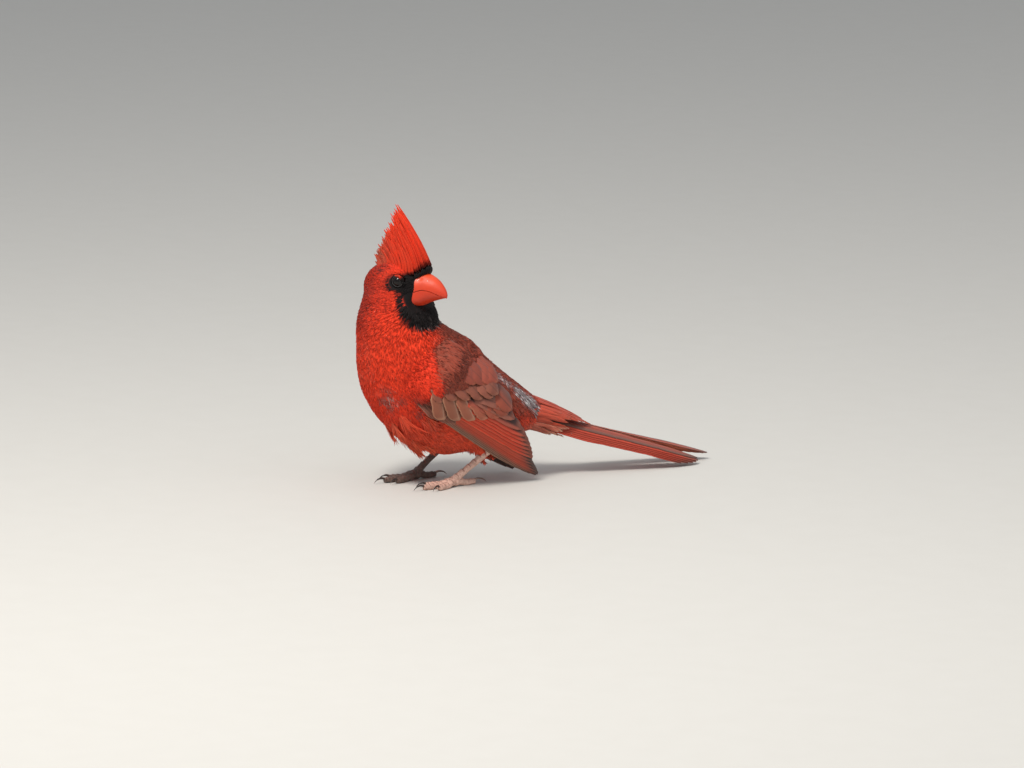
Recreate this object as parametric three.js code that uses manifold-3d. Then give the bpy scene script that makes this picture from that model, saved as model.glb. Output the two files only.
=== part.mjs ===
// A male northern cardinal at life size, standing with its head turned over its left shoulder.
// Millimetres, +Z up. The breast faces -Y, the bird's left side is +X, and the feet stand at Z = 0.

import * as THREE from "three";
import { mergeVertices } from "three/addons/utils/BufferGeometryUtils.js";
import Module from "manifold-3d";

const wasm = await Module();
wasm.setup();

// Driving dimensions
const GAP = 0.3; // between neighbouring pieces
const HEAD_TURN = 123; // degrees from the breast, to the bird's left
const HEAD_AT = [0, -18.6]; // where the head turns, in X and Y
const EYE_RADIUS = 3.3;
const BILL_FROM_AXIS = 28.3; // bill tip, forward of the head's axis
const CREST_TOP = 142; // height of the crest's tip
const FOOT_SIDE = 12; // each foot's distance from the middle
const FOOT_STAGGER = 5.7; // left foot behind, right foot ahead
const WING_LENGTH = 90.6; // wrist to the longest primary
const TAIL_LENGTH = 105; // tail root to the longest feather
const VANE = 0.52; // thickness of a feather's vane

const FAR = 400; // size of a cutting block
const radians = THREE.MathUtils.degToRad;
const lerp = THREE.MathUtils.lerp;
const V = (x, y, z) => new THREE.Vector3(x, y, z);

// Colours and finishes
const finish = (color, roughness) => new THREE.MeshStandardMaterial({ color, roughness, metalness: 0 });
const RED = finish(0xc8301c, 0.75);
const BRIGHT = finish(0xe03a20, 0.75);
const RUSSET = finish(0x9a4a34, 0.7);
const CORAL = finish(0xe0492c, 0.4);
const EYE_BLACK = finish(0x140c0a, 0.05);
const SCALE_PINK = finish(0xb98478, 0.6);
const CLAW_HORN = finish(0x3b2d27, 0.35);

// Solids

// A closed geometry as a solid, with its faces turned outwards.
function solidOf(geometry) {
  const bare = new THREE.BufferGeometry().setAttribute("position", geometry.getAttribute("position"));
  bare.setIndex(geometry.getIndex());
  const merged = mergeVertices(bare, 1e-4);
  const corners = [];
  const index = merged.index.array;
  for (let i = 0; i < index.length; i += 3) {
    const [a, b, c] = [index[i], index[i + 1], index[i + 2]];
    if (a !== b && b !== c && a !== c) corners.push(a, b, c);
  }
  const build = (triVerts) =>
    new wasm.Manifold(
      new wasm.Mesh({ numProp: 3, vertProperties: merged.attributes.position.array, triVerts }),
    );
  const made = build(new Uint32Array(corners));
  return made.volume() > 0 ? made : build(new Uint32Array(corners).reverse());
}

function geometryOf(solid) {
  const mesh = solid.getMesh();
  return new THREE.BufferGeometry()
    .setAttribute("position", new THREE.BufferAttribute(mesh.vertProperties, 3))
    .setIndex(new THREE.BufferAttribute(mesh.triVerts, 1));
}

const fuse = (solids) => wasm.Manifold.union(solids);

// The largest closed surface of a solid, so that no sealed hollow or loose scrap stays.
const largest = (solid) =>
  solid.decompose().reduce((best, next) => (next.volume() > best.volume() ? next : best));

// All space behind a plane through a point, where the normal points out of it.
function behindPlane(point, normal) {
  const box = new THREE.BoxGeometry(FAR, FAR, FAR).translate(0, 0, -FAR / 2);
  box.applyQuaternion(new THREE.Quaternion().setFromUnitVectors(V(0, 0, 1), normal.clone().normalize()));
  return solidOf(box.translate(point.x, point.y, point.z));
}

// Splits a solid at a plane, and leaves the gap between the parts behind it and in front of it.
function splitAt(solid, point, normal) {
  const out = normal.clone().normalize();
  const half = (shift) => point.clone().addScaledVector(out, (shift * GAP) / 2);
  return [solid.intersect(behindPlane(half(-1), out)), solid.subtract(behindPlane(half(1), out))];
}

// A closed form along a path. Each station is [centre, half size to the side, above, below].
// It is a sphere whose rings are moved to the stations, and grow adds to it all round.
function formAlong(stations, around, along, grow = 0) {
  const path = new THREE.CatmullRomCurve3(stations.map((s) => s[0]));
  const girth = new THREE.CatmullRomCurve3(stations.map((s) => V(s[1], s[2], s[3])));
  const form = new THREE.SphereGeometry(1, around, along);
  const position = form.attributes.position;
  for (let i = 0; i < position.count; i++) {
    const unit = V().fromBufferAttribute(position, i);
    const t = Math.acos(THREE.MathUtils.clamp(unit.y, -1, 1)) / Math.PI;
    const ring = Math.hypot(unit.x, unit.z);
    const tangent = path.getTangent(t);
    const side = sideOf(tangent);
    const up = V().crossVectors(side, tangent);
    const size = girth.getPoint(t);
    const point = path.getPoint(t).addScaledVector(tangent, -grow * unit.y);
    if (ring > 1e-4) {
      const [across, rise] = [unit.x / ring, unit.z / ring];
      point.addScaledVector(side, across * Math.max(0, size.x + grow * ring));
      point.addScaledVector(up, rise * Math.max(0, (rise > 0 ? size.y : size.z) + grow * ring));
    }
    position.setXYZ(i, point.x, point.y, point.z);
  }
  return solidOf(form);
}

// The side direction of a path. Above it is up, or to the rear where the path climbs.
function sideOf(tangent) {
  const reference = Math.abs(tangent.z) > 0.9 ? V(0, 1, 0) : V(0, 0, 1);
  return V().crossVectors(tangent, reference).normalize();
}

// The body's own forms run from the rear to the front in the middle plane, with their back above.
function bodyForm(rows, around, along, grow = 0) {
  const path = new THREE.CatmullRomCurve3(rows.map(([y, z]) => V(0, y, z)));
  const girth = new THREE.CatmullRomCurve3(rows.map(([, , side, back, front]) => V(side, back, front)));
  const form = new THREE.SphereGeometry(1, around, along);
  const position = form.attributes.position;
  for (let i = 0; i < position.count; i++) {
    const unit = V().fromBufferAttribute(position, i);
    const t = Math.acos(THREE.MathUtils.clamp(unit.y, -1, 1)) / Math.PI;
    const ring = Math.hypot(unit.x, unit.z);
    const tangent = path.getTangent(t);
    const back = V(0, tangent.z, -tangent.y);
    const size = girth.getPoint(t);
    const point = path.getPoint(t).addScaledVector(tangent, -grow * unit.y);
    if (ring > 1e-4) {
      const [across, rise] = [unit.x / ring, unit.z / ring];
      point.x += across * Math.max(0, size.x + grow * ring);
      point.addScaledVector(back, rise * Math.max(0, (rise > 0 ? size.y : size.z) + grow * ring));
    }
    position.setXYZ(i, point.x, point.y, point.z);
  }
  return solidOf(form);
}

// A thin vane. Its place(t, across, lift) puts a point of the flat feather in space; halves(t) gives
// the widths of its two webs. Both faces are split alike, and the tip closes to a point.
function vane(place, halves, steps, thick = VANE) {
  const points = [];
  for (let k = 0; k < steps; k++) {
    const t = k / steps;
    const [lead, trail] = halves(t);
    const depth = thick / 2;
    for (const [across, lift] of [
      [-lead, depth],
      [trail, depth],
      [trail, -depth],
      [-lead, -depth],
    ])
      points.push(place(t, across, lift));
  }
  points.push(place(1, 0, 0));
  const tip = points.length - 1;
  const faces = [
    [0, 1, 2],
    [0, 2, 3],
  ];
  for (let k = 0; k < steps - 1; k++) {
    const [a, b] = [4 * k, 4 * k + 4];
    faces.push([a, b, b + 1], [a, b + 1, a + 1]);
    faces.push([a + 3, b + 2, b + 3], [a + 3, a + 2, b + 2]);
    faces.push([a + 1, b + 1, b + 2], [a + 1, b + 2, a + 2]);
    faces.push([a, b + 3, b], [a, a + 3, b + 3]);
  }
  const last = 4 * (steps - 1);
  for (let side = 0; side < 4; side++) faces.push([last + side, tip, last + ((side + 1) % 4)]);
  const geometry = new THREE.BufferGeometry().setFromPoints(points);
  return solidOf(geometry.setIndex(faces.flat()));
}

// Widths of a flight feather's webs: narrow at the root, full to near the end, rounded at the tip.
const webs = (lead, trail, root = 0.5) => (t) => {
  const grow = Math.min(1, root + (1 - root) * (t / 0.35));
  const round = Math.sqrt(Math.max(0, 1 - Math.pow(Math.max(0, (t - 0.72) / 0.3), 2)));
  return [lead * grow * round, trail * grow * round];
};

const root = new THREE.Group();
const steps = {};

function node(name, solid, material) {
  const whole = largest(solid);
  steps[name] = whole;
  const mesh = new THREE.Mesh(geometryOf(whole), material);
  mesh.name = name;
  root.add(mesh);
  return whole;
}

// Torso, neck and head

// Rows of [Y, Z, half width, to the back, to the breast], from the rump to the throat.
const TORSO = [
  [63, 29, 0, 0, 0],
  [56, 31, 8.5, 6, 7],
  [43, 35, 16, 12, 14.5],
  [24, 41, 22.5, 20, 27.6],
  [5, 48, 24.5, 28, 34.4],
  [-9, 61, 24.5, 26, 33],
  [-17, 76, 22, 20, 26],
  [-20, 88, 16.5, 15, 18],
  [-20.5, 95, 0, 0, 0],
];
const NECK = [
  [-17, 62, 0, 0, 0],
  [-17.5, 68, 17, 16, 18],
  [-19, 80, 20.4, 19.5, 22.6],
  [-19.5, 90, 18.6, 18.6, 19.8],
  [-19, 99, 16.5, 17, 17],
  [-19, 107, 9, 9, 9],
  [-19, 110, 0, 0, 0],
];
// The head in its own frame, bill towards -Y, turned later: from the nape to the forehead.
const HEAD = [
  [19.5, 98, 0, 0, 0],
  [17.5, 98.5, 7.5, 7.5, 8.5],
  [10, 99.5, 13.8, 13, 14],
  [0, 100.5, 15.4, 13.8, 15],
  [-7, 101.5, 13.2, 12.2, 11.5],
  [-11.5, 103.4, 10, 9, 9],
  [-14.6, 105.8, 6.6, 5.8, 6.4],
  [-16.4, 107.9, 3, 2.7, 3.2],
  [-17.1, 108.6, 0, 0, 0],
];
const torsoForm = (grow = 0) => bodyForm(TORSO, 28, 18, grow);
const neckForm = (grow = 0) => bodyForm(NECK, 24, 10, grow);
const headForm = (grow = 0) => bodyForm(HEAD, 24, 14, grow);
const headPlace = (solid) => solid.rotate([0, 0, HEAD_TURN]).translate([HEAD_AT[0], HEAD_AT[1], 0]);

const EYE_FORWARD = 6.5;
const EYE_SIDE = 9.7;
const EYE_HEIGHT = 105.4;
const eyeCentre = (side) => V(side * EYE_SIDE, -EYE_FORWARD, EYE_HEIGHT);
const ball = (radius, centre, segments = 16) =>
  solidOf(new THREE.SphereGeometry(radius, segments, segments / 2 + 2).translate(centre.x, centre.y, centre.z));

// The fold of the lids round one eye, on the side of the head.
function lids(side) {
  const [ringRadius, ringThick, out] = [2.95, 0.55, 2.2];
  const facing = V(side, -0.22, 0.05).normalize();
  const ring = new THREE.TorusGeometry(ringRadius, ringThick, 5, 14);
  ring.applyQuaternion(new THREE.Quaternion().setFromUnitVectors(V(0, 0, 1), facing));
  const at = eyeCentre(side).addScaledVector(facing, out);
  return solidOf(ring.translate(at.x, at.y, at.z));
}

function body() {
  const skull = headPlace(fuse([headForm(), lids(1), lids(-1)]));
  const whole = fuse([torsoForm(), neckForm(), skull]);
  const sockets = fuse([1, -1].map((side) => headPlace(ball(EYE_RADIUS + GAP, eyeCentre(side), 12))));
  const throat = V(0, -19, 83);
  const jaw = V(0, -19, 90.5);
  const neckLine = V(0, -0.16, 1);
  const jawLine = V(0.2, 0.1, 1);
  const [torso, above] = splitAt(whole, throat, neckLine);
  const [neck, head] = splitAt(above, jaw, jawLine);
  return { torso, neck, head: head.subtract(sockets) };
}

// Bill, in the head's own frame

// Rows of [forward of the head's axis, height, half width, above, below].
const BILL = [
  [6, 101, 6.2, 8.4, 7],
  [10, 101, 6.9, 9, 8],
  [15, 101, 6.7, 9, 7.5],
  [19, 100.8, 5.8, 7.8, 6.3],
  [22.5, 100.2, 4.5, 5.9, 4.8],
  [25.5, 99.3, 3, 3.8, 3],
  [27.6, 98.3, 1.5, 1.8, 1.3],
  [BILL_FROM_AXIS + 0.3, 97.4, 0, 0, 0],
];
// The line where the two halves of the bill meet, as [forward, height], bent down at the gape.
const TOMIUM = [
  [0, 96.5],
  [9.5, 97.5],
  [12.5, 99.6],
  [17, 101.3],
  [21, 101],
  [25.5, 99],
  [28.5, 97],
  [34, 94],
];

// All space under the line of the mouth, lowered by the gap for the lower half of the bill.
function underTomium(drop) {
  const outline = new THREE.Shape([
    ...TOMIUM.map(([f, z]) => new THREE.Vector2(f, z - drop)),
    new THREE.Vector2(34, 60),
    new THREE.Vector2(0, 60),
  ]);
  const block = new THREE.ExtrudeGeometry(outline, { depth: 40, bevelEnabled: false });
  block.translate(0, 0, -20).rotateX(Math.PI / 2).rotateZ(-Math.PI / 2);
  return solidOf(block);
}

function billForm(grow = 0) {
  const rows = BILL.map(([f, z, side, above, below]) => [-f, z, side, above, below]);
  return bodyForm(rows, 20, 12, grow);
}

function bill() {
  const whole = billForm();
  const nostril = (side) => ball(0.75, V(side * 4.3, -17.6, 105.6), 8);
  const upper = whole.subtract(underTomium(0)).subtract(fuse([nostril(1), nostril(-1)]));
  const shortened = behindPlane(V(0, -(BILL_FROM_AXIS - 1.7), 98), V(0, -1, 0));
  const lower = whole.intersect(underTomium(GAP)).intersect(shortened);
  const face = fuse([headPlace(headForm(GAP)), neckForm(GAP)]);
  return { upper: headPlace(upper).subtract(face), lower: headPlace(lower).subtract(face) };
}

// Crest

// Rows of locks as [count, sideways at the root, sideways at the tip, share of the full length].
const CREST_ROWS = [
  [8, 4, 1.8, 0.84],
  [11, 0, 0, 1],
  [8, -4, -1.8, 0.84],
];
const crestRoot = (u, side) => V(side, lerp(-16.6, 12, u), 111.4 - 5 * u * u - 0.12 * side * side);
const crestTip = (u, side) => V(side, lerp(2.4, 15.5, Math.pow(u, 1.1)), lerp(CREST_TOP, 117, Math.pow(u, 0.85)));

// One lock of the crest rises from its root and leans back to its tip.
function lock(u, rootSide, tipSide, share) {
  const from = crestRoot(u, rootSide);
  const to = crestTip(u, tipSide).lerp(from, 1 - share);
  const lean = from.clone().lerp(to, 0.5).add(V(0, -3.2 * u - 1.2 * (1 - u), 2.4 * u));
  const curve = new THREE.QuadraticBezierCurve3(from, lean, to);
  const place = (t, across, lift) => {
    const tangent = curve.getTangent(t);
    const back = V(0, tangent.z, -tangent.y).normalize();
    const shingle = rootSide === 0 ? 0.1 * across : Math.sign(rootSide) * -0.22 * across;
    return curve.getPoint(t).addScaledVector(back, across).add(V(lift + shingle, 0, 0));
  };
  const width = (t) => 2.3 * (0.6 + 0.4 * Math.min(1, t / 0.3)) * Math.pow(1 - t, 0.55);
  return vane(place, (t) => [width(t), width(t)], 3, 0.8);
}

function crest() {
  const core = [
    [0, 100, 0, 0, 0],
    [0, 106, 6.2, 12, 14],
    [0, 113, 5.6, 12, 15.4],
    [0.2, 120, 3.2, 7, 9.4],
    [0.4, 126, 0, 0, 0],
  ];
  const locks = CREST_ROWS.flatMap(([count, rootSide, tipSide, share], row) =>
    Array.from({ length: count }, (_, k) => lock((k + (row % 2) * 0.5) / count, rootSide, tipSide, share)),
  );
  const whole = fuse([bodyForm(core, 12, 8), ...locks]);
  return headPlace(whole.subtract(fuse([headForm(GAP), billForm(GAP)])));
}

// Wings

// A wing's own frame: p runs from the wrist to the tip, q up and back across it, h out from the body.
function wingFrame(side, wrist, tip) {
  const along = tip.clone().sub(wrist).normalize();
  const out = V(side, 0, 0);
  out.addScaledVector(along, -out.dot(along)).normalize();
  const across = V().crossVectors(out, along).multiplyScalar(side);
  const bulge = (p, q) => 5.6 * (1 - Math.pow((p - 25) / 66, 2)) - 0.0105 * (q - 2) * (q - 2);
  return (p, q, h) =>
    wrist
      .clone()
      .addScaledVector(along, p)
      .addScaledVector(across, q)
      .addScaledVector(out, bulge(p, q) + h);
}

// A point a share of the way along a row of [p, q] pairs.
function onRow(pairs, share) {
  const at = share * (pairs.length - 1);
  const k = Math.min(Math.floor(at), pairs.length - 2);
  return [0, 1].map((axis) => lerp(pairs[k][axis], pairs[k + 1][axis], at - k));
}

// Tiers of a wing's feathers, from its lower edge to its upper one. Roots and tips are rows of
// [p, q], lift is the height of the first and last feather, and dive is how far roots dip.
const TIERS = [
  {
    count: 9, // primaries
    roots: [[2, -4.6], [10, -0.6]],
    tips: [[73, -4], [80, -3.4], [86, -2.2], [90, -1], [90.6, 0], [88, 1.2], [85.5, 2.4], [83, 3.6], [81, 4.6]],
    webs: [2, 5.6],
    lift: [-4.2, -0.5],
    dive: 0,
  },
  {
    count: 9, // secondaries and tertials
    roots: [[5, 0], [20, 14]],
    tips: [[80, 6.5], [79, 8.3], [77.5, 10], [75, 11.6], [72, 13], [69, 14.5], [64, 16.5], [57, 19], [49, 21.5]],
    webs: [2.2, 5.6],
    lift: [0, 3.4],
    dive: 0,
  },
  {
    count: 4, // primary coverts and alula
    roots: [[4, -4], [9, -1.5]],
    tips: [[43, -5.2], [38, -3], [33, -0.6]],
    webs: [2.4, 4],
    lift: [-2.2, 0.4],
    dive: 1,
  },
  {
    count: 6, // greater coverts
    roots: [[8, -1], [22, 20]],
    tips: [[39, 1], [42.5, 6], [46, 11], [49, 15.5], [49, 19.5], [46, 23]],
    webs: [3.2, 4.8],
    lift: [1.4, 5],
    dive: 1.6,
  },
  {
    count: 5, // median coverts
    roots: [[4, 1], [14, 21]],
    tips: [[27, 1], [29, 4.6], [30.5, 8.2], [31, 11.8], [30.5, 15.4], [29, 19], [27, 22.4]],
    webs: [2.4, 4],
    lift: [2.9, 6],
    dive: 3.8,
  },
  {
    count: 4, // scapulars
    roots: [[6, 20], [12, 28]],
    tips: [[47, 22], [44, 24.5], [40, 26.6], [35, 28.4], [29, 30]],
    webs: [3, 3.6],
    lift: [5, 6],
    dive: 3.4,
  },
];
const WING_TILT = 0.3; // how much each feather's lower edge stands out, as a slope

function wingFeather(at, tier, k) {
  const share = k / (tier.count - 1);
  const [p0, q0] = onRow(tier.roots, share);
  const [p1, q1] = onRow(tier.tips, share);
  const span = Math.hypot(p1 - p0, q1 - q0);
  const lift = lerp(...tier.lift, share);
  const place = (t, across, depth) => {
    const p = lerp(p0, p1, t) - ((q1 - q0) / span) * across;
    const q = lerp(q0, q1, t) + ((p1 - p0) / span) * across;
    return at(p, q, lift - tier.dive * (1 - t) * (1 - t) - WING_TILT * across + depth);
  };
  return vane(place, webs(...tier.webs), 4);
}

function wing(at) {
  const core = new THREE.SphereGeometry(1, 12, 8);
  const position = core.attributes.position;
  for (let i = 0; i < position.count; i++) {
    const unit = V().fromBufferAttribute(position, i);
    const q = 12 + 19 * unit.x;
    const point = at(18 - 26 * unit.y, q, 0.16 * (q - 9) + 3.6 * unit.z);
    position.setXYZ(i, point.x, point.y, point.z);
  }
  const feathers = TIERS.flatMap((tier) => Array.from({ length: tier.count }, (_, k) => wingFeather(at, tier, k)));
  return fuse([solidOf(core), ...feathers]);
}

const WINGS = {
  left: { side: 1, wrist: V(23.6, -21, 55), tip: V(14, 51.7, 2.6) },
  right: { side: -1, wrist: V(-23.6, -24, 54), tip: V(-14, 47.6, 2.6) },
};

// Tail

const TAIL_ROOT = V(0, 50, 34);
const TAIL_DROP = 31; // fall of its axis over the whole length

function tailFrame() {
  const along = V(0, Math.sqrt(TAIL_LENGTH * TAIL_LENGTH - TAIL_DROP * TAIL_DROP), -TAIL_DROP).normalize();
  const roll = radians(12);
  const up = V(0, -along.z, along.y).applyAxisAngle(along, roll);
  const across = V().crossVectors(along, up);
  return (p, q, h) =>
    TAIL_ROOT.clone().addScaledVector(along, p).addScaledVector(across, q).addScaledVector(up, h);
}

// Half of the tail: feathers from the middle one on top to the outermost beneath.
const TAIL_FEATHERS = [
  { length: 105, inner: 2.6, outer: 3.4 },
  { length: 105, inner: 4, outer: 3.3 },
  { length: 104, inner: 5, outer: 3.3 },
  { length: 102, inner: 6, outer: 3.1 },
  { length: 99, inner: 7, outer: 2.9 },
  { length: 95, inner: 8, outer: 2.6 },
];
const TAIL_LAYER = 0.75; // from one feather down to the next
const TAIL_SPREAD = 0.035; // how far each half turns out, as a slope
// The two halves as [side, shorter by, sag at the end].
const TAIL_HALVES = [
  [1, 9, 1.2],
  [-1, 0, 0],
];

function tailFeather(at, [side, short, sag], k) {
  const { length, inner, outer } = TAIL_FEATHERS[k];
  const reach = length - short;
  const place = (t, across, lift) => {
    const p = reach * t;
    const q = 0.2 + Math.min(1, 0.55 + 1.2 * t) * inner + across + TAIL_SPREAD * Math.max(0, p - 40);
    const roof = Math.tan(radians(lerp(24, 5, Math.min(1, t * 1.3)))) * q;
    return at(p, side * q, lift - roof - TAIL_LAYER * k - sag * t * t);
  };
  return vane(place, webs(inner, outer, 0.55), 5);
}

// Short feathers over and under the root of the tail, as [side step, length, height, slope].
function tailCovert(at, across, reach, height, fall) {
  const place = (t, width, lift) => at(-4 + reach * t, across + width, height + fall * t - 0.03 * across * across + lift);
  return vane(place, webs(3.2, 3.2), 4);
}

function tail() {
  const at = tailFrame();
  const core = [
    [90, 20.4, 0, 0, 0],
    [84, 22.4, 5, 1, 2],
    [74, 25.4, 7.6, 2.6, 4.4],
    [64, 28.6, 9, 5, 7],
    [56, 31.2, 9.6, 6.5, 8],
    [51, 33, 0, 0, 0],
  ];
  const feathers = TAIL_HALVES.flatMap((half) => TAIL_FEATHERS.map((_, k) => tailFeather(at, half, k)));
  for (let k = 0; k < 5; k++) {
    const across = -6 + 3 * k;
    const middle = 1 - Math.abs(k - 2) / 4;
    feathers.push(tailCovert(at, across, 20 + 18 * middle, 6.5, -5.6));
    feathers.push(tailCovert(at, across, 22 + 20 * middle, -7.5, 1.2));
  }
  return fuse([bodyForm(core, 12, 8), ...feathers]);
}

// Legs, feet and claws

const TOE_RADIUS = 1.55;
const LEGS = {
  left: { side: 1, foot: V(FOOT_SIDE, FOOT_STAGGER, 0), turn: 10 },
  right: { side: -1, foot: V(-FOOT_SIDE, -FOOT_STAGGER, 0), turn: 12 },
};
const SHANK_TOP = V(0, 12.5, 10); // where the scaled shank leaves the feathers, from the toes' joint
const KNUCKLE = 3.6; // height of the toes' joint

// Toes as [direction in degrees from the foot's front, length, number of scales, claw length].
const TOES = [
  ["inner", 24, 14, 4, 6],
  ["middle", 2, 18.5, 6, 7],
  ["outer", -17, 15, 5, 6],
  ["hind", 180, 11.5, 3, 8],
];

// A scaled limb: each scale's front edge stands a little proud of the next one.
function scaled(points, radius, scales, around) {
  const rings = [];
  const path = new THREE.CatmullRomCurve3(points);
  rings.push([path.getPoint(0), 0, 0, 0]);
  const count = 2 * scales;
  for (let k = 0; k <= count; k++) {
    const t = k / count;
    const proud = k % 2 ? 0.16 : -0.12;
    const size = radius(t) + proud;
    rings.push([path.getPoint(0.02 + 0.96 * t), size, size, size]);
  }
  rings.push([path.getPoint(1), 0, 0, 0]);
  return formAlong(rings, around, rings.length - 1);
}

const heading = (degrees) => V(Math.sin(radians(degrees)), -Math.cos(radians(degrees)), 0);
const floorCut = () => behindPlane(V(0, 0, 0), V(0, 0, 1));

function leg(name) {
  const { side, foot, turn } = LEGS[name];
  const joint = foot.clone().setZ(KNUCKLE);
  const top = joint.clone().add(V(side * 2, SHANK_TOP.y, SHANK_TOP.z));
  const above = joint.clone().add(V(side * 2.6, SHANK_TOP.y * 1.45, SHANK_TOP.z * 1.5));
  const parts = {};

  const thighRows = [
    [V(side * 12, 8, 34), 0, 0, 0],
    [V(side * 11.6, 10, 31), 5, 8, 8],
    [V(side * 12, 15, 22), 4.4, 7, 7],
    [top.clone().add(V(0, 2.6, 3.2)), 3.4, 4, 4],
    [top.clone().add(V(0, 0, 0)), 2.2, 2.4, 2.4],
    [top.clone().add(V(0, -1.6, -1.3)), 0, 0, 0],
  ];
  const along = top.clone().sub(joint).normalize();
  const [, thigh] = splitAt(formAlong(thighRows, 12, 8), top, along);

  const limb = scaled([joint.clone().add(V(0, -1, -0.4)), joint, top, above], (t) => 1.75 - 0.25 * t, 6, 7);
  const ankle = joint.clone().addScaledVector(along, 1.2);
  const [stub, upper] = splitAt(limb, ankle, along);
  const toeForm = ([, degrees, length, scales], grow = 0) => {
    const ahead = heading(turn + side * degrees);
    const point = (share, z) => foot.clone().addScaledVector(ahead, length * share).setZ(z);
    const back = foot.clone().addScaledVector(ahead, -1.5).setZ(KNUCKLE - 0.6);
    const route = [back, point(0.16, 2.7), point(0.5, 1.45), point(1, 1.5)];
    return scaled(route, (t) => TOE_RADIUS * (1 - 0.22 * t) + grow, scales, 6);
  };
  const toes = TOES.map((toe) => toeForm(toe));
  const hind = toeForm(TOES[3], GAP + 0.1);
  const shank = splitAt(upper, top, along)[0].subtract(hind);
  const pad = ball(2.5, foot.clone().setZ(2.1), 8);
  const knuckle = splitAt(fuse([pad, stub]), ankle, along)[0];
  parts.foot = fuse([knuckle, ...toes]).subtract(floorCut());
  parts.claws = TOES.map(([toe, degrees, length, , claw]) => {
    const ahead = heading(turn + side * degrees);
    const from = foot.clone().addScaledVector(ahead, length - 0.6).setZ(1.9);
    const point = (forward, rise) => from.clone().addScaledVector(ahead, forward).setZ(rise);
    const rows = [
      [point(0, 1.9), 0, 0, 0],
      [point(0.3, 1.95), 0.75, 0.95, 0.9],
      [point(claw * 0.35, 2.75), 0.62, 0.8, 0.75],
      [point(claw * 0.7, 2.3), 0.42, 0.5, 0.5],
      [point(claw * 0.93, 1), 0.2, 0.25, 0.25],
      [point(claw * 0.98, 0.35), 0, 0, 0],
    ];
    return { toe, solid: formAlong(rows, 6, 6) };
  });
  parts.shank = shank;
  parts.thigh = thigh;
  return parts;
}

// Assembly

const { torso, neck, head } = body();
const torsoGrown = torsoForm(GAP);
node("torso", torso, RED);
node("neck", neck, BRIGHT);
node("head", head, BRIGHT);

for (const [name, side] of [
  ["left", 1],
  ["right", -1],
])
  node("eye_" + name, headPlace(ball(EYE_RADIUS, eyeCentre(side), 12)), EYE_BLACK);

const { upper, lower } = bill();
node("bill_upper", upper, CORAL);
node("bill_lower", lower, CORAL);
node("crest", crest(), BRIGHT);

const wings = {};
for (const [name, { side, wrist, tip }] of Object.entries(WINGS)) {
  const at = wingFrame(side, wrist, tip);
  wings[name] = node("wing_" + name, wing(at).subtract(torsoGrown), RUSSET);
}

const wingsGrown = fuse(Object.values(wings));
node("tail", tail().subtract(torsoGrown).subtract(wingsGrown), RUSSET);

for (const name of Object.keys(LEGS)) {
  const { thigh, shank, foot, claws } = leg(name);
  node("thigh_" + name, thigh.subtract(torsoGrown), RED);
  node("foot_" + name, foot, SCALE_PINK);
  node("shank_" + name, shank, SCALE_PINK);
  for (const { toe, solid } of claws) node("claw_" + name + "_" + toe, solid.subtract(foot), CLAW_HORN);
}

// The origin is the middle of the base of the whole bird's box.
const box = new THREE.Box3().setFromObject(root);
const middle = box.getCenter(V());
for (const mesh of root.children) mesh.geometry.translate(-middle.x, -middle.y, -box.min.z);

export default root;
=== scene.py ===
"""Feathers, skin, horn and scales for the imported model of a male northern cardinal."""

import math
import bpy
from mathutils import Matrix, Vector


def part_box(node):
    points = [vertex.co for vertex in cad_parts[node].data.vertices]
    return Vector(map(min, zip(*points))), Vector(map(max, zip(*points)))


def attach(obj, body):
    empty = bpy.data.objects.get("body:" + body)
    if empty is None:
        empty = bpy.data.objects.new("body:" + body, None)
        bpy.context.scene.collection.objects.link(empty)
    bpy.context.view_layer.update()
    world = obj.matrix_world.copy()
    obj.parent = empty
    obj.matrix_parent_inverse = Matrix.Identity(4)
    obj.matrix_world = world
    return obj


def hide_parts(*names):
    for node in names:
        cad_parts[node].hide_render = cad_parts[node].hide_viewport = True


bl_info = {
    "name": "Cardinal plumage",
    "version": (1, 0, 0),
    "blender": (4, 5, 0),
    "location": "View3D > Sidebar > Cardinal",
    "description": "Dresses the packed model of a male northern cardinal",
    "category": "Object",
}

import bpy
import numpy as np
from mathutils import Matrix, Vector
from mathutils.bvhtree import BVHTree

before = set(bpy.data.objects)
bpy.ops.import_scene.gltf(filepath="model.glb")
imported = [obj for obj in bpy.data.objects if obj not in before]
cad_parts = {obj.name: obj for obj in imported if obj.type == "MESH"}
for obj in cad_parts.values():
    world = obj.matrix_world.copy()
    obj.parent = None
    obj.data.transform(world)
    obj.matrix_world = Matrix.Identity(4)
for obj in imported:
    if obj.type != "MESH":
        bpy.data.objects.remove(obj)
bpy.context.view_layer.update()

# Lengths in millimetres. The eyes and the gape are in the head's own frame, with the bill towards -Y.
MM = 0.001
HEAD_TURN = math.radians(123)
HEAD_AT = np.array([0.0, -18.6, 0.0])
EYE_RADIUS = 3.3
EYE_AT = np.array([9.7, -6.5, 105.4])
GAPE_AT = (0, -12.2, 97.3)
TOE_JOINT = 3.6
BACK_WAY = np.array([0, 0.62, 0.78])
PAINT, VANE, BAKE = "Plumage", "Vane", "OFBake"


# Places. Lengths are in millimetres from the middle of the feet, and become metres in a mesh.
def head_point(points):
    """A point of the head's own frame, bill towards -Y, in the body's frame."""
    return head_way(points) + HEAD_AT


def head_way(ways):
    """A direction of the head's own frame, in the body's frame."""
    ways = np.asarray(ways, float)
    c, s = math.cos(HEAD_TURN), math.sin(HEAD_TURN)
    x, y, z = ways[..., 0], ways[..., 1], ways[..., 2]
    return np.stack([x * c - y * s, x * s + y * c, z], -1)


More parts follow.
